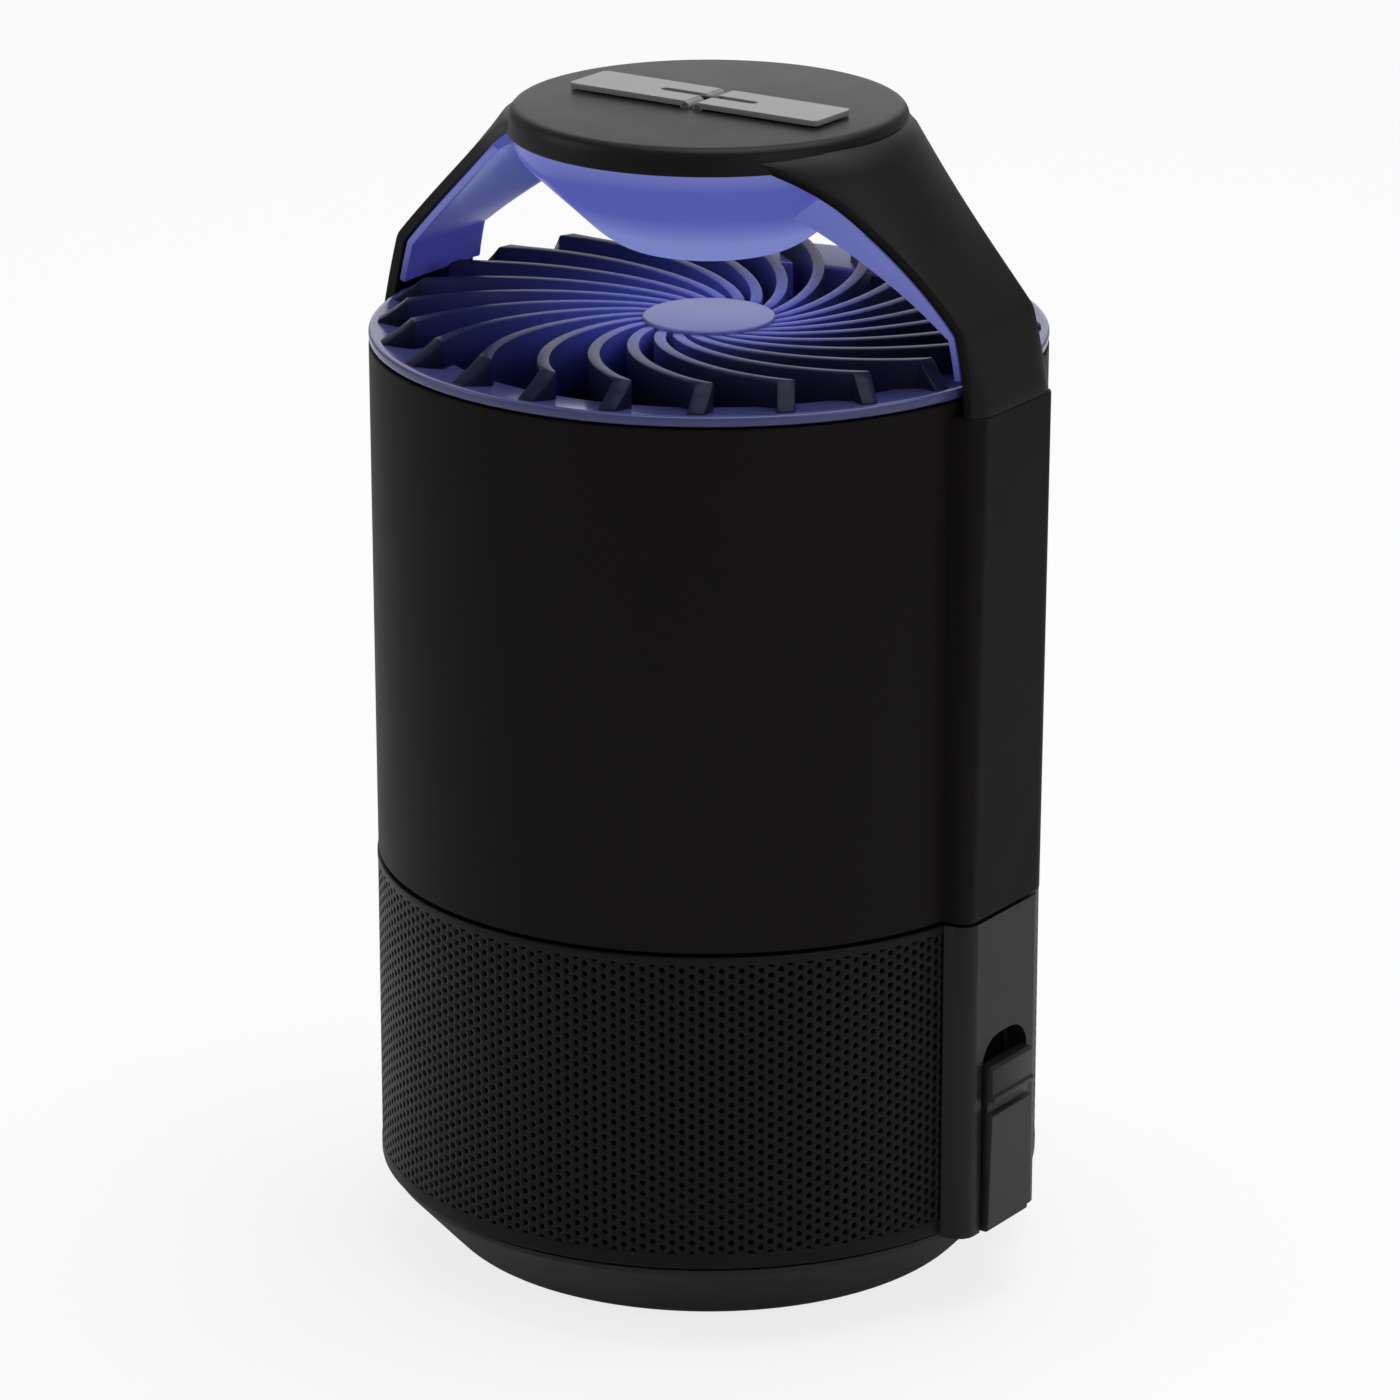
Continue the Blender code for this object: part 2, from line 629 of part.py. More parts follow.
def board_posts():
    """Where the two posts that carry the board stand, as (x, z)."""
    top = housing_bottom + BOARD_RISE + BOARD_HEIGHT - BOARD_POST_MARGIN
    return [(-BOARD_POST_SPREAD, top), (BOARD_POST_SPREAD, top)]


def make_control_board():
    """The circuit board behind the duct, its switch and its screws."""
    low = housing_bottom + BOARD_RISE
    board = block("control_board", (-BOARD_WIDTH / 2, board_front(), low),
                  (BOARD_WIDTH / 2, board_back(), low + BOARD_HEIGHT), board_green)
    for number, (x, z) in enumerate(board_posts(), start=1):
        hole(board, f"board_hole_{number}", SCREW_RADIUS + GAP, 4 * BOARD_THICKNESS,
             (x, board_front(), z), ALONG_Y, SCREW_FACETS)
        screw(f"board_screw_{number}", SMALL_SCREW_LENGTH, (x, board_front() - GAP, z), ALONG_Y)
    middle = housing_bottom + BUTTON_RISE
    half = SWITCH_SIZE / 2
    block("tact_switch", (-half, board_back() + GAP, middle - half),
          (half, board_back() + GAP + SWITCH_HEIGHT, middle + half), inner_grey)


def make_power_button():
    """The push button in the rear wall: its origin is on its face, and it travels along its own Z axis."""
    reach = math.sqrt(housing_inner ** 2 - (BUTTON_RADIUS + BUTTON_COLLAR) ** 2) - GAP
    face = BODY_RADIUS + BUTTON_PROUD
    depth = face - reach
    collar = BUTTON_RADIUS + BUTTON_COLLAR
    back = -depth - BUTTON_COLLAR_THICKNESS
    profile = [(0.0, 0.0), (BUTTON_RADIUS - EDGE, 0.0), (BUTTON_RADIUS, -EDGE), (BUTTON_RADIUS, -depth),
               (collar, -depth), (collar, back), (0.0, back)]
    button = turned("power_button", profile, satin, SMALL_FACETS)
    place(button, (0.0, face, housing_bottom + BUTTON_RISE), ALONG_Y)


def make_power_inlet():
    """The low-voltage socket in the rear wall, with its centre pin."""
    collar = INLET_RADIUS + INLET_COLLAR
    face = BODY_RADIUS - GAP
    collar_front = math.sqrt(housing_inner ** 2 - collar ** 2) - GAP - face
    collar_back = collar_front - INLET_COLLAR_THICKNESS
    inlet_back = duct_outer + INLET_CLEARANCE - face
    profile = [(0.0, -2 * INLET_PIN_RADIUS), (INLET_PIN_RADIUS, -2 * INLET_PIN_RADIUS),
               (INLET_PIN_RADIUS, -INLET_BORE_DEPTH), (INLET_BORE_RADIUS, -INLET_BORE_DEPTH),
               (INLET_BORE_RADIUS, 0.0), (INLET_RADIUS, 0.0),
               (INLET_RADIUS, collar_front), (collar, collar_front), (collar, collar_back),
               (INLET_RADIUS, collar_back), (INLET_RADIUS, inlet_back), (0.0, inlet_back)]
    inlet = turned("power_inlet", profile, gloss, SMALL_FACETS)
    place(inlet, (0.0, face, housing_bottom + INLET_RISE), ALONG_Y)


fan_top = grille_bottom - FAN_DROP + BELL_DEPTH
fan_bottom = fan_top - FAN_HUB_HEIGHT
motor_boss_top = fan_bottom - MOTOR_CLEARANCE
motor_top = motor_boss_top - MOTOR_BOSS_HEIGHT
motor_bottom = motor_top - MOTOR_HEIGHT
cup_floor = motor_bottom - GAP
cup_bottom = cup_floor - CUP_WALL


def make_fan_duct():
    """The air duct: a bell mouth and a tube."""
    flange = rim_inner - 2 * GAP
    bell_bottom = duct_flange_bottom - BELL_DEPTH
    bottom = funnel_flange_top + GAP
    bell_width = grille_inner - duct_inner
    bell_height = duct_flange_top - bell_bottom
    turns = [math.pi / 2 * step / ROUND_STEPS for step in range(ROUND_STEPS + 1)]
    inner_bell = [(duct_inner + bell_width * (1 - math.cos(a)), bell_bottom + bell_height * math.sin(a))
                  for a in turns]
    outer_bell = [(radius + DUCT_WALL, min(height, duct_flange_bottom))
                  for radius, height in reversed(inner_bell[:-1])]
    profile = [(flange, duct_flange_top), (flange, duct_flange_bottom)] + outer_bell
    profile += [(duct_outer, bottom), (duct_inner, bottom)] + inner_bell
    turned("fan_duct", profile, inner_grey, MID_FACETS, closed=True)


def make_motor_mount():
    """The motor's cup on spokes that fit inside the duct."""
    cup_outer = MOTOR_RADIUS + GAP + CUP_WALL
    cup_top = cup_floor + CUP_DEPTH
    profile = [(0.0, cup_floor), (MOTOR_RADIUS + GAP, cup_floor), (MOTOR_RADIUS + GAP, cup_top),
               (cup_outer, cup_top), (cup_outer, cup_bottom), (0.0, cup_bottom)]
    mount = turned("motor_mount", profile, inner_grey, MID_FACETS)
    reach = math.sqrt((duct_inner - GAP) ** 2 - (SPOKE_WIDTH / 2) ** 2) * math.cos(math.pi / MID_FACETS)
    for number in range(SPOKE_COUNT):
        spoke = block(f"spoke_{number + 1}", (cup_outer - CUP_WALL / 2, -SPOKE_WIDTH / 2, cup_bottom),
                      (reach, SPOKE_WIDTH / 2, cup_bottom + SPOKE_HEIGHT), inner_grey)
        place(spoke, (0.0, 0.0, 0.0), (0.0, 0.0, math.pi / 2 + math.tau * number / SPOKE_COUNT))
        join(mount, spoke)


def make_motor():
    """The motor that sits in its mount's cup."""
    bore = SHAFT_RADIUS + GAP
    seat = motor_boss_top - SHAFT_SEAT
    profile = [(0.0, seat), (bore, seat), (bore, motor_boss_top), (MOTOR_BOSS_RADIUS, motor_boss_top),
               (MOTOR_BOSS_RADIUS, motor_top), (MOTOR_RADIUS, motor_top), (MOTOR_RADIUS, motor_bottom),
               (0.0, motor_bottom)]
    turned("fan_motor", profile, steel, MID_FACETS)


def make_fan():
    """The fan and its shaft, which spin together about Z."""
    low = motor_boss_top - SHAFT_SEAT + GAP
    shaft = cylinder("fan_shaft", SHAFT_RADIUS, fan_top - low, steel)
    place(shaft, (0.0, 0.0, (fan_top + low) / 2))
    bore = SHAFT_RADIUS + GAP
    sleeve = bore + FAN_SLEEVE_WALL
    ceiling = fan_top - FAN_HUB_WALL
    inside = FAN_HUB_RADIUS - FAN_HUB_WALL
    profile = [(FAN_HUB_RADIUS - EDGE, fan_top), (FAN_HUB_RADIUS, fan_top - EDGE),
               (FAN_HUB_RADIUS, fan_bottom), (inside, fan_bottom), (inside, ceiling),
               (sleeve, ceiling), (sleeve, fan_bottom), (bore, fan_bottom), (bore, fan_top)]
    fan = turned("fan_rotor", profile, inner_grey, MID_FACETS, closed=True)
    root, tip = FAN_HUB_RADIUS - FAN_HUB_WALL / 2, duct_inner - FAN_TIP_GAP
    middle = (fan_top + fan_bottom) / 2
    shape = bmesh.new()
    for blade in range(FAN_BLADES):
        start = math.tau * blade / FAN_BLADES
        sections = []
        for step in range(BLADE_STEPS + 1):
            share = step / BLADE_STEPS
            radius = root + (tip - root) * share
            pitch = BLADE_ROOT_PITCH + (BLADE_TIP_PITCH - BLADE_ROOT_PITCH) * share
            along = Vector((math.cos(pitch), math.sin(pitch))) * min(BLADE_CHORD, radius) / 2
            across = Vector((-math.sin(pitch), math.cos(pitch))) * BLADE_THICKNESS / 2
            corners = [-along - across, along - across, along + across, -along + across]
            sections.append([polar(radius, start + corner.x / radius, middle + corner.y)
                             for corner in corners])
        loft(shape, sections)
    join(fan, add_object("fan_blades", mesh_from(shape), inner_grey))


def vane_angle(radius):
    """A vane's turn: it grows with the log of the radius, and curls on towards the ring."""
    share = (radius - HUB_RADIUS) / (shoulder_radius - HUB_RADIUS)
    spiral = math.tan(VANE_SWEEP) * math.log(radius / HUB_RADIUS)
    return VANE_PHASE + spiral + VANE_CURL * share ** VANE_CURL_POWER


def vane_lean(radius):
    """The angle between a vane and the spoke through it."""
    reach = shoulder_radius - HUB_RADIUS
    curl = VANE_CURL_POWER * VANE_CURL * ((radius - HUB_RADIUS) / reach) ** (VANE_CURL_POWER - 1) / reach
    return math.atan(math.tan(VANE_SWEEP) + radius * curl)


def vane_stations():
    """A vane from hub to tail, as (radius, turn, lean, top, floor, thickness)."""
    first_top = rim_height + HUB_RISE - EDGE
    vane_top = rim_height + VANE_TOP_RISE
    root = HUB_RADIUS - VANE_EMBED
    seat = rim_height + GAP + EDGE
    stations = []
    for step in range(VANE_STEPS):
        share = step / VANE_STEPS
        radius = root + (shoulder_radius - root) * share
        room = math.tau * radius / VANE_COUNT * math.cos(vane_lean(radius))
        top = first_top + (vane_top - first_top) * share
        stations.append((radius, vane_angle(radius), vane_lean(radius), top, grille_bottom + 2 * GAP,
                         min(VANE_THICKNESS, VANE_ROOT_SHARE * room)))
    turn = vane_angle(shoulder_radius)
    tail_lean = -math.atan(VANE_TAIL_TURN * shoulder_radius / VANE_TAIL_RUN)
    mitre = (vane_lean(shoulder_radius) + tail_lean) / 2
    stations.append((shoulder_radius, turn, mitre, vane_top, seat, VANE_THICKNESS))
    stations.append((tail_radius, turn - VANE_TAIL_TURN, tail_lean, lip_top + GAP, seat, VANE_TAIL_THICKNESS))
    return stations


def make_vane_grille():
    """The inlet grille: a ring with a lip over the rim, a hub and swirl vanes with tails on the ring."""
    hub_top = rim_height + HUB_RISE
    crown = lip_top + GRILLE_CROWN_RISE
    shape = bmesh.new()
    for vane in range(VANE_COUNT):
        sections = []
        for radius, turn, lean, top, floor, thickness in vane_stations():
            angle = turn + math.tau * vane / VANE_COUNT
            across = polar(thickness / 2, angle + math.pi / 2 + lean)
            spine = polar(radius, angle)
            rise, fall = Vector((0.0, 0.0, top)), Vector((0.0, 0.0, floor))
            sections.append([spine - across + fall, spine + across + fall,
                             spine + across + rise, spine - across + rise])
        loft(shape, sections)
    grille = add_object("vane_grille", mesh_from(shape), satin)
    hub = turned("grille_hub", [(0.0, hub_top), (HUB_RADIUS - EDGE, hub_top), (HUB_RADIUS, hub_top - EDGE),
                                (HUB_RADIUS, hub_top - HUB_HEIGHT), (0.0, hub_top - HUB_HEIGHT)],
                 satin, MID_FACETS)
    lip = arc((tail_radius, lip_top - GRILLE_LIP_ROUND), GRILLE_LIP_ROUND, 90.0, 0.0, GRILLE_LIP_STEPS)
    lip += [(rim_radius, rim_height + GAP), (grille_outer, rim_height + GAP)]
    skirt = [(grille_outer, grille_bottom), (grille_inner, grille_bottom), (grille_inner, crown - EDGE)]
    ring = turned("grille_ring", [(grille_inner + EDGE, crown)] + lip + skirt, gloss, BIG_FACETS, closed=True)
    join(grille, hub)
    join(grille, ring)


def arm_path(share):
    """The middle of an arm's outer face, from the cap (0) down the slope to the knee (1) and the foot (2)."""
    top = Vector((CAP_RADIUS + ARM_TOP_PROUD, 0.0, cap_top - CAP_EDGE))
    knee = Vector((knee_reach, 0.0, knee_height))
    foot = Vector((foot_reach, 0.0, foot_height))
    return top.lerp(knee, share) if share <= 1.0 else knee.lerp(foot, share - 1.0)


def arm_inward(share):
    """The direction from an arm's outer face to its inner one, mitred at the knee and level at the foot."""
    def normal(start, end):
        run = arm_path(end) - arm_path(start)
        return Vector((run.z, 0.0, -run.x)).normalized()
    slope, leg = normal(0.0, 1.0), normal(1.0, 2.0)
    if share < 1.0:
        return slope
    if share >= 2.0:
        return Vector((1.0 / leg.x, 0.0, 0.0))
    if share > 1.0:
        return leg
    return (slope + leg) / (1.0 + slope.dot(leg))


def arm_half_width(share):
    """Half an arm's width: it spreads from the knee up into the cap's skirt."""
    return ARM_KNEE_HALF_WIDTH + ARM_TOP_SPREAD * max(0.0, 1.0 - share) ** ARM_SPREAD_EASE


def arm_section(share, outer_depth, inner_depth):
    """A band across an arm between two depths below its outer face, round at the cap and flat at the knee."""
    half = arm_half_width(share)
    bulge = ARM_TOP_BULGE * max(0.0, 1.0 - share) ** ARM_BULGE_EASE
    middle, inward = arm_path(share), arm_inward(share)
    rows = []
    for depth in (outer_depth, inner_depth):
        row = []
        for step in range(ARM_POINTS_ACROSS):
            across = 2.0 * step / (ARM_POINTS_ACROSS - 1) - 1.0
            row.append(middle + inward * depth + Vector((-bulge * across ** 2, half * across, 0.0)))
        rows.append(row)
    return rows[0] + list(reversed(rows[1]))


def arm_shares(start):
    """Stations along an arm, from a share of its slope to the foot."""
    slope = [start + (1.0 - start) * (step / ARM_STEPS) ** ARM_STATION_EASE for step in range(ARM_STEPS + 1)]
    return slope + [2.0]


def make_cap():
    """The cap: a disc with a skirt, two arms with tongues, lamp posts and the hanger's lug."""
    edge = arc((CAP_RADIUS - CAP_EDGE, cap_top - CAP_EDGE), CAP_EDGE, 90.0, 0.0, ROUND_STEPS)
    profile = [(0.0, cap_top)] + edge + [(skirt_radius, skirt_bottom), (skirt_inner, skirt_bottom),
                                         (skirt_inner, cap_ceiling), (0.0, cap_ceiling)]
    cap = turned("cap", profile, black, BIG_FACETS)
    tongue_face = foot_reach - TONGUE_INSET
    for side, sign, turn in SIDES:
        shape = bmesh.new()
        sections = [arm_section(share, 0.0, ARM_THICKNESS) for share in arm_shares(ARM_START_SHARE)]
        inside = [point - Vector((CAP_EDGE / 2, 0.0, 0.0)) for point in arm_section(0.0, EDGE, 2 * EDGE)]
        loft(shape, [inside] + sections)
        arm = add_object(f"arm_{side}", mesh_from(shape), black)
        join(cap, place(arm, (0.0, 0.0, 0.0), (0.0, 0.0, turn)))
        tongue = block(f"tongue_{side}",
                       (tongue_face - TONGUE_THICKNESS, -TONGUE_HALF_WIDTH, rib_top - TONGUE_DEPTH),
                       (tongue_face, TONGUE_HALF_WIDTH, foot_height + 2 * ARM_THICKNESS), black)
        join(cap, place(tongue, (0.0, 0.0, 0.0), (0.0, 0.0, turn)))
        for end in (-1.0, 1.0):
            spot = (sign * tongue_face, end * ARM_SCREW_SPREAD, rib_top - ARM_SCREW_DROP)
            hole(cap, f"tongue_hole_{side}_{int(end)}", SCREW_RADIUS + GAP, 4 * TONGUE_THICKNESS, spot,
                 ALONG_X, SCREW_FACETS)
    for end in (-1.0, 1.0):
        post = cylinder(f"lamp_post_{int(end)}", LED_POST_RADIUS, LED_POST_HEIGHT + CAP_THICKNESS / 2, black)
        low = cap_ceiling - LED_POST_HEIGHT
        high = cap_ceiling + CAP_THICKNESS / 2
        join(cap, place(post, (0.0, end * LED_POST_CIRCLE, (low + high) / 2)))
        hole(cap, f"lamp_post_hole_{int(end)}", SCREW_RADIUS + GAP, 2 * (SMALL_SCREW_LENGTH + GAP),
             (0.0, end * LED_POST_CIRCLE, lamp_board_bottom() - GAP), facets=SCREW_FACETS)
    pocket_x = HINGE_OFFSET + KNUCKLE_RADIUS + GAP
    pocket_y = LEAF_WIDTH / 2 + GAP
    pocket_bottom = cap_top + HINGE_RISE - KNUCKLE_RADIUS - GAP
    pocket = block("hinge_pocket", (-pocket_x, -pocket_y, pocket_bottom),
                   (pocket_x, pocket_y, cap_top + LEAF_WIDTH), black)
    cut(cap, pocket)
    lug = block("hinge_lug", (-pocket_x + GAP, -LUG_WIDTH / 2, pocket_bottom - EDGE),
                (pocket_x - GAP, LUG_WIDTH / 2, cap_top + HINGE_RISE + KNUCKLE_RADIUS), black)
    join(cap, lug)
    for side, sign, turn in SIDES:
        hole(cap, f"lug_hole_{side}", HANGER_PIN_RADIUS + PIN_PLAY, 4 * LUG_WIDTH,
             (sign * HINGE_OFFSET, 0.0, cap_top + HINGE_RISE), ALONG_Y, SCREW_FACETS)


def make_arm_screws():
    """The screws that hold the arms' tongues, driven outwards from inside the housing."""
    number = 0
    for side, sign, turn in SIDES:
        for end in (-1.0, 1.0):
            number += 1
            y = end * ARM_SCREW_SPREAD
            seat = math.sqrt(housing_inner ** 2 - (ARM_SCREW_SPREAD + SCREW_HEAD_RADIUS) ** 2) - GAP
            length = foot_reach - TONGUE_INSET - EDGE - seat
            screw(f"arm_screw_{number}", length, (sign * seat, y, rib_top - ARM_SCREW_DROP),
                  (0.0, sign * math.pi / 2, 0.0))


def make_light_dome():
    """The diffuser bowl under the cap: a flange, a cone and a round bottom."""
    def bowl(flange, drop):
        bottom = skirt_bottom - DOME_DEPTH + drop
        cone_low = bottom + DOME_CONE_RISE
        cone_radius = DOME_CONE_RADIUS - drop / 2
        dish_radius = DOME_DISH_RADIUS * cone_radius / DOME_CONE_RADIUS
        shares = [step / DOME_STEPS for step in range(DOME_STEPS, -1, -1)]
        dish = [(dish_radius * share, bottom + DOME_DISH_RISE * share ** 2) for share in shares]
        lip = skirt_bottom - DOME_FLANGE_DROP
        shoulder = (flange - DOME_SHOULDER, lip - DOME_FLANGE_DROP)
        return [(flange, lip), shoulder, (cone_radius, cone_low)] + dish
    top = cap_ceiling - GAP
    flange = skirt_inner - GAP
    outside = [(flange, top)] + bowl(flange, 0.0)
    inside = [(flange - DOME_WALL, top)] + bowl(flange - DOME_WALL, DOME_WALL)
    turned("light_dome", list(reversed(inside)) + outside, violet, MID_FACETS)


def make_arm_liners():
    """The lit strips that line the inside of the arms."""
    near = ARM_THICKNESS + GAP
    shares = arm_shares(LINER_TOP_SHARE)[:-1] + [1.0 + liner_foot_share()]
    for side, sign, turn in SIDES:
        shape = bmesh.new()
        loft(shape, [arm_section(share, near, near + liner_thickness(share)) for share in shares])
        liner = add_object(f"arm_liner_{side}", mesh_from(shape), violet)
        place(liner, (0.0, 0.0, 0.0), (0.0, 0.0, turn))


def liner_thickness(share):
    """A liner thickens from the knee up to the cap."""
    return LINER_THICKNESS + LINER_TOP_GAIN * max(0.0, 1.0 - share) ** LINER_EASE


def liner_foot_share():
    """How far down an arm's leg its liner reaches: to just above the grille's lip."""
    return (knee_height - lip_top - ARM_THICKNESS) / (knee_height - foot_height)


def lamp_board_bottom():
    """The underside of the lamp board, which hangs from the cap's posts."""
    return cap_ceiling - LED_POST_HEIGHT - GAP - BOARD_THICKNESS


def make_lamps():
    """The lamp board, its ring of lamps and its screws."""
    low = lamp_board_bottom()
    board = cylinder("lamp_board", LED_BOARD_RADIUS, BOARD_THICKNESS, board_green, MID_FACETS)
    place(board, (0.0, 0.0, low + BOARD_THICKNESS / 2))
    for number, end in enumerate((-1.0, 1.0), start=1):
        spot = (0.0, end * LED_POST_CIRCLE, low - GAP)
        hole(board, f"lamp_board_hole_{number}", SCREW_RADIUS + GAP, 4 * BOARD_THICKNESS, spot,
             facets=SCREW_FACETS)
        screw(f"lamp_screw_{number}", SMALL_SCREW_LENGTH, spot)
    straight = LED_HEIGHT - LED_RADIUS
    lens = arc((0.0, -straight), LED_RADIUS, 0.0, -90.0, ROUND_STEPS - 1)[:-1]
    profile = [(0.0, 0.0), (LED_RADIUS, 0.0)] + lens + [(0.0, -LED_HEIGHT)]
    for lamp in range(LED_COUNT):
        led = turned(f"led_{lamp + 1}", profile, lamp_clear, SCREW_FACETS)
        place(led, polar(LED_CIRCLE, math.tau * lamp / LED_COUNT, low - GAP))


def make_hanger():
    """Two leaves that fold up on pins at the middle of the cap, with slits that line up as an eye."""
    half = LEAF_WIDTH / 2
    slit = LEAF_SLIT_WIDTH / 2
    reach = LEAF_LENGTH + LEAF_CORNER
    tip = arc((LEAF_LENGTH, half - LEAF_CORNER), LEAF_CORNER, 0.0, 90.0, ROUND_STEPS)
    slit_end = arc((LEAF_SLIT_LENGTH, 0.0), slit, 90.0, -90.0, ROUND_STEPS)
    upper = [(0.0, slit), (0.0, half)] + list(reversed(tip))
    outline = upper + [(x, -y) for x, y in reversed(upper)] + list(reversed(slit_end))
    for side, sign, turn in SIDES:
        leaf = prism(f"hanger_leaf_{side}", outline, LEAF_THICKNESS, grey)
        lift = LEAF_LIFT - HINGE_RISE + LEAF_THICKNESS / 2
        leaf.data.transform(Matrix.Translation((0.0, 0.0, lift)))
        place(leaf, (sign * HINGE_OFFSET, 0.0, cap_top + HINGE_RISE), (0.0, 0.0, turn))
        for end in (-1.0, 1.0):
            knuckle = cylinder(f"knuckle_{side}_{int(end)}", KNUCKLE_RADIUS, half - slit, grey)
            middle = end * (half + slit) / 2
            join(leaf, place(knuckle, (sign * HINGE_OFFSET, middle, cap_top + HINGE_RISE), ALONG_Y))
        hole(leaf, f"leaf_bore_{side}", HANGER_PIN_RADIUS + PIN_PLAY, 2 * reach,
             (sign * HINGE_OFFSET, 0.0, cap_top + HINGE_RISE), ALONG_Y, SCREW_FACETS)
        pin = cylinder(f"hanger_pin_{side}", HANGER_PIN_RADIUS, LEAF_WIDTH, steel, SCREW_FACETS)
        place(pin, (sign * HINGE_OFFSET, 0.0, cap_top + HINGE_RISE), ALONG_Y)


panel_bottom = basket_bottom - PANEL_DROP
latch_top = panel_bottom + LATCH_HEIGHT
pin_height = panel_bottom + LATCH_HEIGHT / 2
pin_reach = rib_face - LATCH_PIN_DEPTH
slot_half = LATCH_HALF_WIDTH + LATCH_SIDE_GAP


def make_side_panels():
    """The panels over the basket wall, each with a slot for its latch and holes for the latch pin."""
    height = basket_top - panel_bottom
    inner = BODY_RADIUS + GAP
    slot_top = latch_top + RECESS_HEIGHT
    corner = arc((slot_half - RECESS_CORNER, slot_top - RECESS_CORNER), RECESS_CORNER, 0.0, 90.0, ROUND_STEPS)
    half_slot = [(slot_half, panel_bottom - WALL)] + corner
    slot_outline = half_slot + [(-y, z) for y, z in reversed(half_slot)]
    for side, sign, turn in SIDES:
        panel = prism(f"side_panel_{side}", rib_section(BODY_RADIUS - WALL, rib_face), height, satin)
        place(panel, (0.0, 0.0, panel_bottom + height / 2), (0.0, 0.0, turn))
        core = cylinder(f"panel_core_{side}", inner, 2 * height, satin, BIG_FACETS)
        cut(panel, place(core, (0.0, 0.0, panel_bottom + height / 2)))
        slot = prism(f"latch_slot_{side}", slot_outline, 2 * BODY_RADIUS, satin)
        cut(panel, place(slot, (sign * 2 * BODY_RADIUS, 0.0, 0.0), (math.pi / 2, 0.0, math.pi / 2)))
        hole(panel, f"latch_pin_hole_{side}", LATCH_PIN_RADIUS + PIN_PLAY,
             2 * (slot_half + LATCH_PIN_SET + GAP), (sign * pin_reach, 0.0, pin_height), ALONG_Y)


def latch_outline():
    """A latch from its side, as (reach, height) from its pin: a foot, a leaning face, a groove and a grip."""
    foot = panel_bottom - pin_height
    top = latch_top - pin_height
    face_foot = rib_face + LATCH_FOOT_PROUD - pin_reach
    face_top = rib_face + LATCH_TOP_PROUD - pin_reach
    pad = face_top - LATCH_RIDGE
    groove_top = top - LATCH_GRIP_HEIGHT
    groove_low = groove_top - LATCH_GROOVE_HEIGHT
    groove_floor = pad - LATCH_GROOVE_DEPTH
    outer = [(face_foot - EDGE, foot), (face_foot, foot + EDGE), (pad, groove_low),
             (groove_floor, groove_low + LATCH_RIDGE), (groove_floor, groove_top),
             (face_top, groove_top + LATCH_RIDGE), (face_top, groove_top + 3 * LATCH_RIDGE),
             (pad, groove_top + 4 * LATCH_RIDGE), (pad, top - EDGE), (pad - EDGE, top)]
    back = [(face_top - LATCH_THICKNESS, top), (-LATCH_THICKNESS / 2, 0.0),
            (face_foot - LATCH_FOOT_THICKNESS, foot)]
    return outer + back


def make_latches():
    """The squeeze latches, each with its origin on its pin."""
    for side, sign, turn in SIDES:
        latch = prism(f"latch_{side}", latch_outline(), 2 * LATCH_HALF_WIDTH, satin)
        place(latch, (sign * pin_reach, 0.0, pin_height), (math.pi / 2, 0.0, turn))
        hole(latch, f"latch_bore_{side}", LATCH_PIN_RADIUS + PIN_PLAY, 4 * LATCH_HALF_WIDTH,
             (sign * pin_reach, 0.0, pin_height), ALONG_Y)
        pin = cylinder(f"latch_pin_{side}", LATCH_PIN_RADIUS, 2 * (slot_half + LATCH_PIN_SET), steel)
        place(pin, (sign * pin_reach, 0.0, pin_height), ALONG_Y)


make_catch_tray()
make_foot_ring()
make_basket_wall()
make_funnel()
make_basket_screws()
make_side_panels()
make_latches()
make_housing()
make_control_board()
make_power_button()
make_power_inlet()
make_fan_duct()
make_motor_mount()
make_motor()
make_fan()
make_vane_grille()
make_cap()
make_arm_screws()
make_light_dome()
make_arm_liners()
make_lamps()
make_hanger()
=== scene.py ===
"""Looks of the fan insect trap: black drum, lit violet head, swirl vanes, perforated basket and side latches."""
import math

import bmesh
import bpy
from mathutils import Matrix, Vector


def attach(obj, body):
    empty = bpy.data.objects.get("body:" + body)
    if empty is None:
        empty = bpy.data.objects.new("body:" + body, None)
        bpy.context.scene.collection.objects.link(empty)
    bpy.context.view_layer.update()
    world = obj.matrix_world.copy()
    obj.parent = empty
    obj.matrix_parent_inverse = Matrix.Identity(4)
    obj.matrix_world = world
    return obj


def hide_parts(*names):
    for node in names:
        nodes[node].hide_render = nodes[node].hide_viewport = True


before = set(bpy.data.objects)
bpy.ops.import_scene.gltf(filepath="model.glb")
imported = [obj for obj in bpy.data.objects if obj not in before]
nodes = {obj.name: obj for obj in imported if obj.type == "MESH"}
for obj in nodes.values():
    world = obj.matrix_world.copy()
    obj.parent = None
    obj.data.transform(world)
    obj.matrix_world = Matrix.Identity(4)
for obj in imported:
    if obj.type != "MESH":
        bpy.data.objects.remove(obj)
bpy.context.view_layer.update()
MM = 0.001


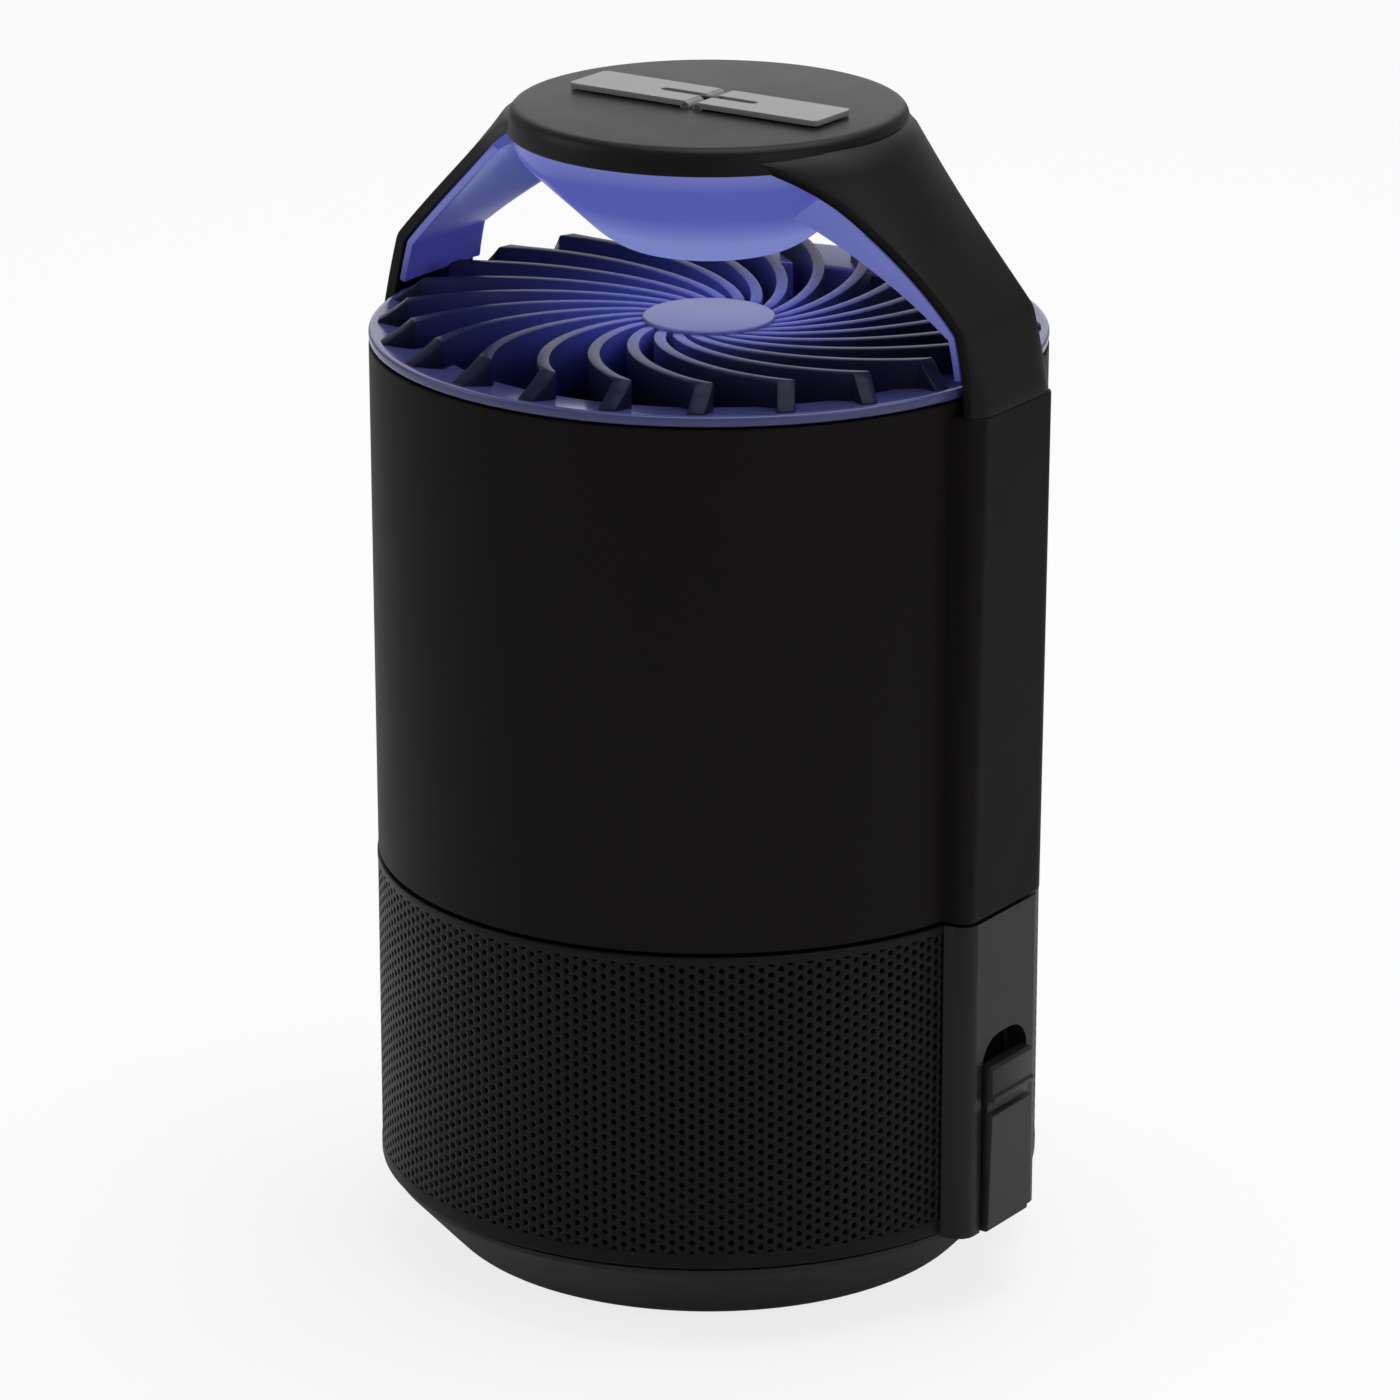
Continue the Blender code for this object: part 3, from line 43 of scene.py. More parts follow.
# Finishes
def finish(name, colour, roughness, grain=0.0, grain_size=0.25, mottle=0.0, metallic=0.0, coat=0.0, shine=0.5):
    """A moulded surface: colour and gloss vary a little over it, and a fine grain roughens it."""
    material = bpy.data.materials.new(name)
    material.use_nodes = True
    tree = material.node_tree
    shader = tree.nodes["Principled BSDF"]
    shader.inputs["Metallic"].default_value = metallic
    shader.inputs["Coat Weight"].default_value = coat
    shader.inputs["Specular IOR Level"].default_value = shine
    place = tree.nodes.new("ShaderNodeTexCoord")
    cloud = tree.nodes.new("ShaderNodeTexNoise")
    cloud.inputs["Scale"].default_value = 90.0
    cloud.inputs["Detail"].default_value = 3.0
    tree.links.new(place.outputs["Object"], cloud.inputs["Vector"])
    tint = tree.nodes.new("ShaderNodeMix")
    tint.data_type = "RGBA"
    tint.inputs["A"].default_value = (*[c * (1.0 - mottle) for c in colour], 1.0)
    tint.inputs["B"].default_value = (*[c * (1.0 + mottle) for c in colour], 1.0)
    tree.links.new(cloud.outputs["Fac"], tint.inputs["Factor"])
    tree.links.new(tint.outputs["Result"], shader.inputs["Base Color"])
    gloss = tree.nodes.new("ShaderNodeMapRange")
    gloss.inputs["To Min"].default_value = roughness - 0.04
    gloss.inputs["To Max"].default_value = roughness + 0.04
    tree.links.new(cloud.outputs["Fac"], gloss.inputs["Value"])
    tree.links.new(gloss.outputs["Result"], shader.inputs["Roughness"])
    if grain:
        speck = tree.nodes.new("ShaderNodeTexNoise")
        speck.inputs["Scale"].default_value = 1.0 / (grain_size * MM)
        speck.inputs["Detail"].default_value = 2.0
        tree.links.new(place.outputs["Object"], speck.inputs["Vector"])
        bump = tree.nodes.new("ShaderNodeBump")
        bump.inputs["Strength"].default_value = grain
        bump.inputs["Distance"].default_value = 0.05 * MM
        tree.links.new(speck.outputs["Fac"], bump.inputs["Height"])
        tree.links.new(bump.outputs["Normal"], shader.inputs["Normal"])
    return material


def lit_plastic(name, low, high, stops, strength):
    """Plastic with a glow that runs through a list of (share, colour) from one height to another: used for the dome's
    own glow and for painted light where the dome's light falls on the arm liners.
    """
    material = finish(name, (0.03, 0.032, 0.09), 0.3, grain=0.05, shine=0.15)
    tree = material.node_tree
    shader = tree.nodes["Principled BSDF"]
    place = tree.nodes.new("ShaderNodeTexCoord")
    split = tree.nodes.new("ShaderNodeSeparateXYZ")
    tree.links.new(place.outputs["Object"], split.inputs["Vector"])
    span = tree.nodes.new("ShaderNodeMapRange")
    span.inputs["From Min"].default_value = low
    span.inputs["From Max"].default_value = high
    tree.links.new(split.outputs["Z"], span.inputs["Value"])
    ramp = tree.nodes.new("ShaderNodeValToRGB")
    ramp.color_ramp.elements[0].position, ramp.color_ramp.elements[0].color = stops[0][0], (*stops[0][1], 1.0)
    ramp.color_ramp.elements[1].position, ramp.color_ramp.elements[1].color = stops[-1][0], (*stops[-1][1], 1.0)
    for share, colour in stops[1:-1]:
        ramp.color_ramp.elements.new(share).color = (*colour, 1.0)
    tree.links.new(span.outputs["Result"], ramp.inputs["Fac"])
    tree.links.new(ramp.outputs["Color"], shader.inputs["Emission Color"])
    shader.inputs["Emission Strength"].default_value = strength
    return material


drum_black = finish("drum_black", (0.0072, 0.0062, 0.0058), 0.5, grain=0.25, mottle=0.06, shine=0.05)
shell_black = finish("shell_black", (0.0046, 0.0042, 0.0042), 0.42, grain=0.25, mottle=0.06, shine=0.15)
panel_black = finish("panel_black", (0.0085, 0.0078, 0.0078), 0.36, grain=0.15, mottle=0.05, shine=0.2)
latch_black = finish("latch_black", (0.0110, 0.0100, 0.0100), 0.36, grain=0.15, mottle=0.05, shine=0.22)
mesh_black = finish("mesh_black", (0.0040, 0.0037, 0.0037), 0.45, grain=0.1, mottle=0.05, shine=0.12)
tray_black = finish("tray_black", (0.0125, 0.0110, 0.0105), 0.4, grain=0.2, mottle=0.06, shine=0.2)
# Painted light: vanes and hub are one black plastic. Their blue-violet tint is painted violet light from the dome, and
# the hub's finish is a brighter copy where more of that light falls.
vane_painted_violet = finish("vane_painted_violet", (0.0085, 0.0100, 0.030), 0.3, grain=0.02, mottle=0.05, shine=0.06)
hub_painted_violet_lit = finish("hub_painted_violet_lit", (0.017, 0.019, 0.028), 0.3, grain=0.02, mottle=0.05, shine=0.13)
# Painted reflection: the ring is glossy black plastic. Its raised blue-violet base colour stands in for the dome's
# violet light reflected in its flats.
ring_painted_sheen = finish("ring_painted_sheen", (0.046, 0.050, 0.15), 0.2, mottle=0.04, shine=0.35)
inner_black = finish("inner_black", (0.010, 0.010, 0.011), 0.5, grain=0.2, mottle=0.06)
hanger_grey = finish("hanger_grey", (0.20, 0.20, 0.205), 0.4, grain=0.1, mottle=0.03)
foot_rubber = finish("foot_rubber", (0.012, 0.012, 0.012), 0.85, grain=0.4, mottle=0.08)
board_green = finish("board_green", (0.012, 0.06, 0.03), 0.35, mottle=0.2)
bare_steel = finish("bare_steel", (0.50, 0.50, 0.51), 0.28, grain=0.1, mottle=0.05, metallic=1.0)
lamp_lens = finish("lamp_lens", (0.45, 0.40, 0.80), 0.12, mottle=0.03, coat=0.4)
dome_glow = lit_plastic("dome_glow", 0.1864, 0.2092, [(0.0, (0.165, 0.195, 0.47)), (0.30, (0.185, 0.22, 0.51)),
                        (0.43, (0.125, 0.148, 0.44)), (0.56, (0.078, 0.092, 0.37)), (0.86, (0.072, 0.086, 0.36)),
                        (1.0, (0.14, 0.155, 0.42))], 1.0)
# Painted light: the arm liners are no lamp. This glow stands in for the dome's violet light falling on them.
liner_painted_light = lit_plastic("liner_painted_light", 0.1752, 0.2064, [(0.0, (0.016, 0.015, 0.105)), (0.22, (0.024, 0.026, 0.15)),
                         (0.3, (0.046, 0.054, 0.19)), (0.6, (0.056, 0.078, 0.25)), (1.0, (0.068, 0.085, 0.34))], 1.0)
# Painted highlight: a brighter glow for the liners' side edges, standing in for the dome's light catching them.
liner_edge_painted_highlight = lit_plastic("liner_edge_painted_highlight", 0.1752, 0.2064, [(0.0, (0.03, 0.03, 0.14)), (0.25, (0.10, 0.105, 0.32)),
                        (0.6, (0.12, 0.135, 0.38)), (1.0, (0.10, 0.12, 0.39))], 1.0)


# Making
def dressed(name, shape, material, body, stands_for, smooth_angle=35.0):
    """Turn a finished bmesh into a piece that rides on a body and stands for CAD nodes."""
    mesh = bpy.data.meshes.new(name)
    shape.to_mesh(mesh)
    shape.free()
    mesh.shade_smooth()
    mesh.set_sharp_from_angle(angle=math.radians(smooth_angle))
    mesh.materials.append(material)
    piece = bpy.data.objects.new(name, mesh)
    bpy.context.scene.collection.objects.link(piece)
    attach(piece, body)
    if stands_for:
        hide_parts(*stands_for)
    return piece


def weld(shape):
    """Merge doubles and point the faces outwards."""
    bmesh.ops.remove_doubles(shape, verts=shape.verts, dist=0.002 * MM)
    bmesh.ops.recalc_face_normals(shape, faces=shape.faces)
    return shape


def eased(points, radius, steps=4, closed=True):
    """Round the corners of an outline with arcs of a radius, where its sides leave room."""
    count = len(points)
    out = []
    for index, point in enumerate(points):
        here = Vector(point)
        before, after = Vector(points[index - 1]), Vector(points[(index + 1) % count])
        if not closed and index in (0, count - 1):
            out.append(here)
            continue
        back, ahead = before - here, after - here
        reach = min(radius, back.length * 0.45, ahead.length * 0.45)
        start, end = here + back.normalized() * reach, here + ahead.normalized() * reach
        for step in range(steps + 1):
            share = step / steps
            out.append((1 - share) ** 2 * start + 2 * share * (1 - share) * here + share ** 2 * end)
    return [(point.x, point.y) for point in out]


def spun(profile, closed, steps=192):
    """Spin a profile of (radius, height) points round Z."""
    shape = bmesh.new()
    points = [shape.verts.new((radius * MM, 0.0, height * MM)) for radius, height in profile]
    for first, second in zip(points, points[1:]):
        shape.edges.new((first, second))
    if closed:
        shape.edges.new((points[-1], points[0]))
    bmesh.ops.spin(shape, geom=shape.verts[:] + shape.edges[:], cent=(0.0, 0.0, 0.0), axis=(0.0, 0.0, 1.0),
                   angle=math.tau, steps=steps, use_merge=True)
    return weld(shape)


def skinned(loops):
    """Bridge closed loops of points, in turn, into a skin with filled ends."""
    shape = bmesh.new()
    rings = []
    for loop in loops:
        points = [shape.verts.new(point) for point in loop]
        rings.append([shape.edges.new((points[i - 1], points[i])) for i in range(len(points))])
    bmesh.ops.edgeloop_fill(shape, edges=rings[0])
    bmesh.ops.edgeloop_fill(shape, edges=rings[-1])
    for first, second in zip(rings, rings[1:]):
        bmesh.ops.bridge_loops(shape, edges=first + second)
    return weld(shape)


def raised(outline, low, high):
    """Extrude a flat outline of (x, y) points from one height to another."""
    shape = bmesh.new()
    face = shape.faces.new([shape.verts.new((x * MM, y * MM, low * MM)) for x, y in outline])
    grown = bmesh.ops.extrude_face_region(shape, geom=[face])
    top = [item for item in grown["geom"] if isinstance(item, bmesh.types.BMVert)]
    bmesh.ops.translate(shape, verts=top, vec=(0.0, 0.0, (high - low) * MM))
    return weld(shape)


def soften(shape, width, angle=30.0, segments=3):
    """Round every edge that turns by more than an angle."""
    sharp = [edge for edge in shape.edges if edge.is_manifold and edge.calc_face_angle() > math.radians(angle)]
    bmesh.ops.bevel(shape, geom=sharp, offset=width * MM, offset_type="OFFSET", affect="EDGES", segments=segments,
                    profile=0.5, material=-1, clamp_overlap=True)
    broad = [face for face in shape.faces if face.calc_area() > 100.0 * MM * MM]
    bmesh.ops.inset_individual(shape, faces=broad, thickness=0.1 * MM, use_even_offset=True)
    return shape


def copied(node):
    """A merged copy of a CAD node's mesh, with its flat faces made whole."""
    shape = bmesh.new()
    shape.from_mesh(nodes[node].data)
    bmesh.ops.remove_doubles(shape, verts=shape.verts, dist=0.002 * MM)
    bmesh.ops.dissolve_limit(shape, angle_limit=math.radians(0.5), verts=shape.verts, edges=shape.edges)
    return shape


SIDES = (("right", False), ("left", True))


def standing(shape, left):
    """A shape made for the right side, or its half-turned twin for the left."""
    if not left:
        return shape
    bmesh.ops.rotate(shape, verts=shape.verts, cent=(0.0, 0.0, 0.0), matrix=Matrix.Rotation(math.pi, 3, "Z"))
    return shape


def brick(low, high):
    """A block between two corners, in millimetres."""
    low, high = Vector(low), Vector(high)
    shape = bmesh.new()
    bmesh.ops.create_cube(shape, size=MM)
    bmesh.ops.scale(shape, vec=high - low, verts=shape.verts)
    bmesh.ops.translate(shape, vec=(low + high) / 2 * MM, verts=shape.verts)
    return shape


def rod_along_y(radius, start, end, x, z, steps=48):
    """A round bar along Y between two places."""
    shape = bmesh.new()
    bmesh.ops.create_cone(shape, cap_ends=True, segments=steps, radius1=radius * MM, radius2=radius * MM,
                          depth=(end - start) * MM)
    bmesh.ops.rotate(shape, verts=shape.verts, cent=(0.0, 0.0, 0.0), matrix=Matrix.Rotation(-math.pi / 2, 3, "X"))
    bmesh.ops.translate(shape, verts=shape.verts, vec=(x * MM, (start + end) / 2 * MM, z * MM))
    return shape


def without(shape, *tools):
    """A shape with other shapes cut out of it."""
    def lent(part):
        mesh = bpy.data.meshes.new("lent")
        part.to_mesh(mesh)
        part.free()
        thing = bpy.data.objects.new("lent", mesh)
        bpy.context.scene.collection.objects.link(thing)
        return thing
    base, cutters = lent(shape), [lent(tool) for tool in tools]
    for cutter in cutters:
        cut = base.modifiers.new("cut", "BOOLEAN")
        cut.operation, cut.solver, cut.object = "DIFFERENCE", "EXACT", cutter
    bpy.context.view_layer.update()
    result = bmesh.new()
    result.from_object(base, bpy.context.evaluated_depsgraph_get())
    for thing in [base] + cutters:
        mesh = thing.data
        bpy.data.objects.remove(thing, do_unlink=True)
        bpy.data.meshes.remove(mesh)
    return weld(result)


# Drum with its rear openings, and its side ribs
drum = spun(eased([(60.98, 171.0), (60.7, 75.3), (58.4, 75.3), (58.4, 155.2), (55.4, 156.8), (55.4, 159.8),
                   (58.7, 159.8), (58.7, 171.0)], 0.5, 4), True)
drum = without(drum, rod_along_y(5.8, 54.0, 66.0, 0.0, 88.0), rod_along_y(4.3, 54.0, 66.0, 0.0, 106.3))
dressed("drum", drum, drum_black, "upper", ["housing"])

RIB = [(58.4, -13.4), (64.5, -12.76), (64.5, 12.76), (58.4, 13.4)]
rib_outline = [RIB[0]] + eased(RIB, 3.0, 8)[9:27] + [RIB[3]]
for side, left in SIDES:
    rib = raised(rib_outline, 75.3, 168.5)
    bmesh.ops.translate(rib, verts=[v for v in rib.verts if v.co.z > 0.1], vec=(0.7 * MM, 0.0, 0.0))
    rib = soften(rib, 0.35, 50.0, 2)
    dressed(f"side_rib_{side}", standing(rib, left), drum_black, "upper", ["housing"])

# Basket: rings, perforated halves and the backing behind each panel
basket_top = spun(eased([(60.9, 74.7), (60.9, 73.2), (58.4, 72.2), (51.4, 72.2), (51.4, 74.7)], 0.3, 3), True)
dressed("basket_top_ring", basket_top, mesh_black, "upper", ["basket_wall"])
basket_foot = spun(eased([(60.9, 18.4), (60.9, 15.5), (58.4, 15.5), (58.4, 18.4)], 0.45, 3), True)
dressed("basket_foot_ring", basket_foot, mesh_black, "upper", ["basket_wall"])

HOLE_PITCH, HOLE_CORNER, SHEET_RADIUS, SHEET_THICKNESS = 2.03, 0.66, 60.8, 1.4
SHEET_LOW, SHEET_HIGH, SHEET_HALF_TURN = 18.0, 73.6, math.radians(77.6)


def perforated_half(middle):
    """Half of the basket's sheet: a triangle lattice whose corners are bevelled into six-sided holes, bent round Z."""
    half_run = SHEET_RADIUS * SHEET_HALF_TURN
    rows = math.ceil((SHEET_HIGH - SHEET_LOW) / HOLE_PITCH) + 2
    columns = math.ceil(2 * half_run / (HOLE_PITCH * math.sqrt(0.75))) + 2
    slant = math.ceil(columns / 2)
    shape = bmesh.new()
    bmesh.ops.create_grid(shape, x_segments=columns, y_segments=rows + slant, size=0.5)
    bmesh.ops.scale(shape, verts=shape.verts,
                    vec=(columns * HOLE_PITCH * math.sqrt(0.75), (rows + slant) * HOLE_PITCH, 1.0))
    shear = Matrix(((1.0, 0.0, 0.0), (1.0 / math.sqrt(3.0), 1.0, 0.0), (0.0, 0.0, 1.0)))
    bmesh.ops.transform(shape, matrix=shear.to_4x4(), verts=shape.verts)
    height = (SHEET_HIGH - SHEET_LOW) / 2
    spare = [v for v in shape.verts if abs(v.co.y) > height + 2 * HOLE_PITCH]
    bmesh.ops.delete(shape, geom=spare, context="VERTS")
    bmesh.ops.triangulate(shape, faces=shape.faces[:], quad_method="SHORT_EDGE")
    inner = [v for v in shape.verts if not v.is_boundary]
    holes = bmesh.ops.bevel(shape, geom=inner, offset=HOLE_CORNER, offset_type="OFFSET", affect="VERTICES",
                            segments=1, profile=0.5, material=-1)
    bmesh.ops.delete(shape, geom=holes["faces"], context="FACES_ONLY")
    for point, normal in (((half_run, 0, 0), (1, 0, 0)), ((-half_run, 0, 0), (-1, 0, 0)), ((0, height, 0), (0, 1, 0)),
                          ((0, -height, 0), (0, -1, 0))):
        bmesh.ops.bisect_plane(shape, geom=shape.verts[:] + shape.edges[:] + shape.faces[:], plane_co=point,
                               plane_no=normal, clear_outer=True)
    for v in shape.verts:
        turn = middle + v.co.x / SHEET_RADIUS
        v.co = Vector((SHEET_RADIUS * math.cos(turn), SHEET_RADIUS * math.sin(turn),
                       v.co.y + (SHEET_HIGH + SHEET_LOW) / 2)) * MM
    return shape


for name, middle in (("front", -math.pi / 2), ("back", math.pi / 2)):
    sheet = perforated_half(middle)
    piece = dressed(f"perforated_sheet_{name}", sheet, mesh_black, "upper", ["basket_wall"], 60.0)
    rounding = piece.modifiers.new("rounding", "SUBSURF")
    rounding.levels = rounding.render_levels = 1
    thickness = piece.modifiers.new("thickness", "SOLIDIFY")
    thickness.thickness, thickness.offset = SHEET_THICKNESS * MM, -1.0
for side, left in SIDES:
    strip = [(60.5 * math.cos(a), 60.5 * math.sin(a)) for a in [math.radians(-12.5 + 25.0 * n / 12) for n in range(13)]]
    strip += [(x * 58.6 / 60.5, y * 58.6 / 60.5) for x, y in reversed(strip)]
    dressed(f"basket_backing_{side}", standing(raised(strip, 18.0, 73.6), left), mesh_black, "upper",
            ["basket_wall"])

# Catch tray
tray = eased([(0.0, 3.0), (45.3, 3.0), (56.3, 13.6), (56.3, 21.2), (58.1, 21.2), (58.1, 15.2), (58.7, 15.2),
              (58.7, 14.6), (59.3, 14.6), (59.3, 13.6), (58.38, 12.6)], 0.3, 3, False)
tray += eased([(58.38, 12.6), (47.5, 0.8), (41.3, 0.8)], 3.0, 8, False)[1:]
tray += [(41.3, 1.8), (35.7, 1.8), (35.7, 0.8), (0.0, 0.8)]
dressed("catch_tray_dish", spun(tray, False), tray_black, "tray", ["catch_tray"])

# Panels, latches, hanger leaves and the inner works: merged copies of the solids with softened edges
SOFTENED = [
    ("side_panel_left", 0.3, panel_black, "upper", "panel_black"),
    ("side_panel_right", 0.3, panel_black, "upper", "panel_black"),
    ("latch_left", 0.15, latch_black, "latch_left", "panel_black"),
    ("latch_right", 0.15, latch_black, "latch_right", "panel_black"),
    ("hanger_leaf_left", 0.12, hanger_grey, "hanger_left", "hanger_grey"),
    ("hanger_leaf_right", 0.12, hanger_grey, "hanger_right", "hanger_grey"),
    ("foot_ring", 0.2, foot_rubber, "tray", "foot_rubber"),
    ("power_button", 0.1, panel_black, "button", "panel_black"),
    ("power_inlet", 0.1, panel_black, "upper", "inlet_black"),
    ("escape_funnel", 0.2, inner_black, "upper", "inner_grey"),
    ("fan_duct", 0.0, inner_black, "upper", "inner_grey"),
    ("motor_mount", 0.2, inner_black, "upper", "inner_grey"),
    ("fan_rotor", 0.0, inner_black, "fan", "inner_grey"),
    ("fan_shaft", 0.1, bare_steel, "fan", "steel"),
    ("fan_motor", 0.2, bare_steel, "upper", "steel"),
    ("tact_switch", 0.15, inner_black, "upper", "inner_grey"),
    ("control_board", 0.0, board_green, "upper", "circuit_board"),
    ("lamp_board", 0.0, board_green, "upper", "circuit_board"),
]
for node, width, material, body, slot in SOFTENED:
    shape = copied(node)
    if node.startswith(("side_panel", "latch")):
        foot = min(v.co.z for v in shape.verts)
        for v in shape.verts:
            v.co.z += max(0.0, 1.5 * MM - (v.co.z - foot) / 2)
    if width:
        soften(shape, width, 33.0, 3)
    dressed(node + "_moulded", shape, material, body, [node], 30.0)
for node in nodes:
    if "screw" in node or "_pin_" in node or node.startswith("led_"):
        lamp = node.startswith("led_")
        dressed(node + "_finished", copied(node), lamp_lens if lamp else bare_steel, "upper",
                [node], 30.0)

# Swirl grille: a glossy ring with a lip over the rim, a hub and vanes with pointed tails
ring = spun(eased([(49.9, 162.5), (49.9, 172.0), (60.2, 173.3), (60.99, 173.1), (60.99, 171.35), (58.4, 171.35), (58.4, 162.5)], 0.9, 5),
            True)
# The ring's finish carries a painted violet reflection.
dressed("grille_ring", ring, ring_painted_sheen, "upper", ["vane_grille"])
# The hub's finish is the vanes' black with more painted violet light.
hub = spun(eased([(0.0, 174.9), (12.0, 174.9), (12.0, 164.9), (0.0, 164.9)], 0.6, 4, False), False)
dressed("grille_hub", hub, hub_painted_violet_lit, "upper", ["vane_grille"])

VANES, SWEEP, CURL, PHASE, HUB = 24, math.radians(31.0), math.radians(5.1), math.radians(6.5), 12.0
SHOULDER, TAIL, TAIL_TURN = 54.1, 59.5, math.radians(1.4)


def vane_turn(radius):
    """How far round a vane has swept at a radius: a spiral that curls on towards the ring."""
    share = (radius - HUB) / (SHOULDER - HUB)
    return PHASE + math.tan(SWEEP) * math.log(radius / HUB) + CURL * share ** 3


def vane_loop(radius, turn, lean, low, top, thickness):
    """A vane's section: its two sides, from its floor to its top edge."""
    across = Vector((math.cos(turn + math.pi / 2 + lean), math.sin(turn + math.pi / 2 + lean), 0.0)) * thickness / 2
    spine = Vector((radius * math.cos(turn), radius * math.sin(turn), 0.0))
    low, high = Vector((0.0, 0.0, low)), Vector((0.0, 0.0, top))
    return [(point * MM)[:] for point in (spine - across + low, spine + across + low, spine + across + high,
                                          spine - across + high)]


stations = []
for step in range(14):
    share = step / 14
    radius = HUB - 0.9 + (SHOULDER - HUB + 0.9) * share
    lean = math.atan(radius * (vane_turn(radius + 0.1) - vane_turn(radius - 0.1)) / 0.2)
    room = math.tau * radius / VANES * math.cos(lean)
    stations.append((radius, vane_turn(radius), lean, 163.2, 174.4 + 3.1 * share, min(2.2, 0.7 * room)))
for share in (0.0, 0.35, 0.7, 1.0):
    stations.append((SHOULDER + (TAIL - SHOULDER) * share, vane_turn(SHOULDER) - TAIL_TURN * share, 0.0, 171.9,
                     177.5 - 4.1 * share ** 0.9, 3.4 - 0.3 * share))
vane = soften(skinned([vane_loop(*station) for station in stations]), 0.3, 50.0, 2)
bmesh.ops.spin(vane, geom=vane.verts[:] + vane.edges[:] + vane.faces[:], cent=(0.0, 0.0, 0.0), axis=(0.0, 0.0, 1.0),
               angle=math.tau * (VANES - 1) / VANES, steps=VANES - 1, use_duplicate=True)
# The vanes' finish carries painted violet light from the dome.
dressed("swirl_vanes", vane, vane_painted_violet, "upper", ["vane_grille"])

# Cap, with the hinge pocket and lug of its hanger
cap = spun(eased([(0.0, 213.8), (35.3, 213.8), (36.1, 209.0), (35.0, 209.0), (35.0, 211.2), (0.0, 211.2)], 2.0, 6, False),
           False)
cap = without(cap, brick((-2.6, -6.05, 212.6), (2.6, 6.05, 216.0)))
dressed("cap_disc", cap, shell_black, "upper", ["cap"])
lug = soften(brick((-2.3, -0.7, 212.3), (2.3, 0.7, 214.95)), 0.2, 50.0, 2)
dressed("hanger_lug", lug, shell_black, "upper", ["cap"])

# Arms and their liners, with the dome's light on the liners painted in as glow
ARM_LINE = eased([(37.3, 212.2), (61.0, 183.4), (65.1, 168.45)], 1.1, 5, False)
SLOPE_TOP, SLOPE_FOOT, LEG_FOOT = 212.2, 183.4, 168.45
ACROSS = [n / 8 - 1.0 for n in range(17)]


def arm_stations(first, last):
    """Points down an arm's outer face, from one height to another, each with its inward direction."""
    line = []
    for start, end in zip(ARM_LINE, ARM_LINE[1:]):
        run = Vector(end) - Vector(start)
        count = max(1, round(run.length / 2.5))
        line += [Vector(start) + run * n / count for n in range(count)]
    line.append(Vector(ARM_LINE[-1]))
    out = []
    for index, point in enumerate(line):
        run = line[min(index + 1, len(line) - 1)] - line[max(index - 1, 0)]
        out.append((point, Vector((run.y, -run.x)).normalized()))
    return [(point, inward) for point, inward in out if last <= point.y <= first]


def arm_loop(point, inward, near, far, inset=0.0, gain=0.0):
    """A band across an arm between two depths under its outer face: round at the cap, flat at the knee.

    The band may gain thickness towards its leading edge.
    """
    share = min(1.0, max(0.0, (SLOPE_TOP - point.y) / (SLOPE_TOP - SLOPE_FOOT)))
    leg = max(0.0, (SLOPE_FOOT - point.y) / (SLOPE_FOOT - LEG_FOOT)) ** 2
    root = max(0.0, 1.0 - (SLOPE_TOP - point.y) / 9.0) ** 2
    half = 11.6 + 9.6 * (1.0 - share) ** 2.24 + 4.0 * root + leg - inset
    bulge = 8.2 * (1.0 - share) ** 1.69 + 3.6 * root
    rows = []
    for depth, more in ((near, 0.0), (far, gain)):
        places = [point + inward * (depth + more * (1.0 - a) / 2) for a in ACROSS]
        rows.append([Vector((place.x - bulge * a * a - 1.4 * leg * a ** 8, half * a, place.y)) * MM
                     for place, a in zip(places, ACROSS)])
    return rows[0] + rows[1][::-1]


for side, left in SIDES:
    loops = [arm_loop(point, inward, 0.0, 2.0) for point, inward in arm_stations(211.6, 160.0)]
    root = [corner - Vector((0.8, 0.0, 0.0)) * MM for corner in arm_loop(*arm_stations(213.0, 160.0)[0], 0.5, 1.0)]
    arm = soften(skinned([root] + loops), 0.45, 55.0, 3)
    dressed(f"arm_{side}", standing(arm, left), shell_black, "upper", ["cap"], 32.0)
    loops = [arm_loop(point, inward, 2.3, 3.7, 0.2, 6.8 * max(0.0, (point.y - SLOPE_FOOT) / (SLOPE_TOP - SLOPE_FOOT)))
             for point, inward in arm_stations(206.4, 175.2)]
    liner = soften(skinned(loops), 0.35, 55.0, 2)
    lit = dressed(f"lit_liner_{side}", standing(liner, left), liner_painted_light, "upper",
                  [f"arm_liner_{side}"], 32.0)
    # The liner's side faces get the brighter painted highlight.
    lit.data.materials.append(liner_edge_painted_highlight)
    for face in lit.data.polygons:
        face.material_index = int(abs(face.normal.y) > 0.6)

# Light dome: a flange, a cone and a dished bottom
outside = [(34.8, 210.9), (34.8, 206.6), (33.6, 204.2), (20.0, 191.5), (16.4, 189.1), (10.9, 187.6), (5.5, 186.7),
           (0.0, 186.4)]
inside = [(33.2, 210.9), (33.2, 206.8), (32.0, 204.8), (19.2, 193.1), (15.7, 190.7), (10.5, 189.2), (5.2, 188.3),
          (0.0, 188.0)]
dome = spun(eased(inside[::-1] + outside, 1.6, 5, False), False)
dome_piece = dressed("light_dome_milky", dome, dome_glow, "upper", ["light_dome"], 40.0)
lamp = bpy.data.lights.new("violet_lamp", "AREA")
lamp.shape, lamp.size, lamp.energy, lamp.color = "DISK", 0.05, 0.115, (0.38, 0.44, 1.0)
violet = bpy.data.objects.new("violet_lamp", lamp)
violet.location = (0.0, 0.0, 0.186)
violet.parent = dome_piece
violet.visible_glossy = False
bpy.context.scene.collection.objects.link(violet)

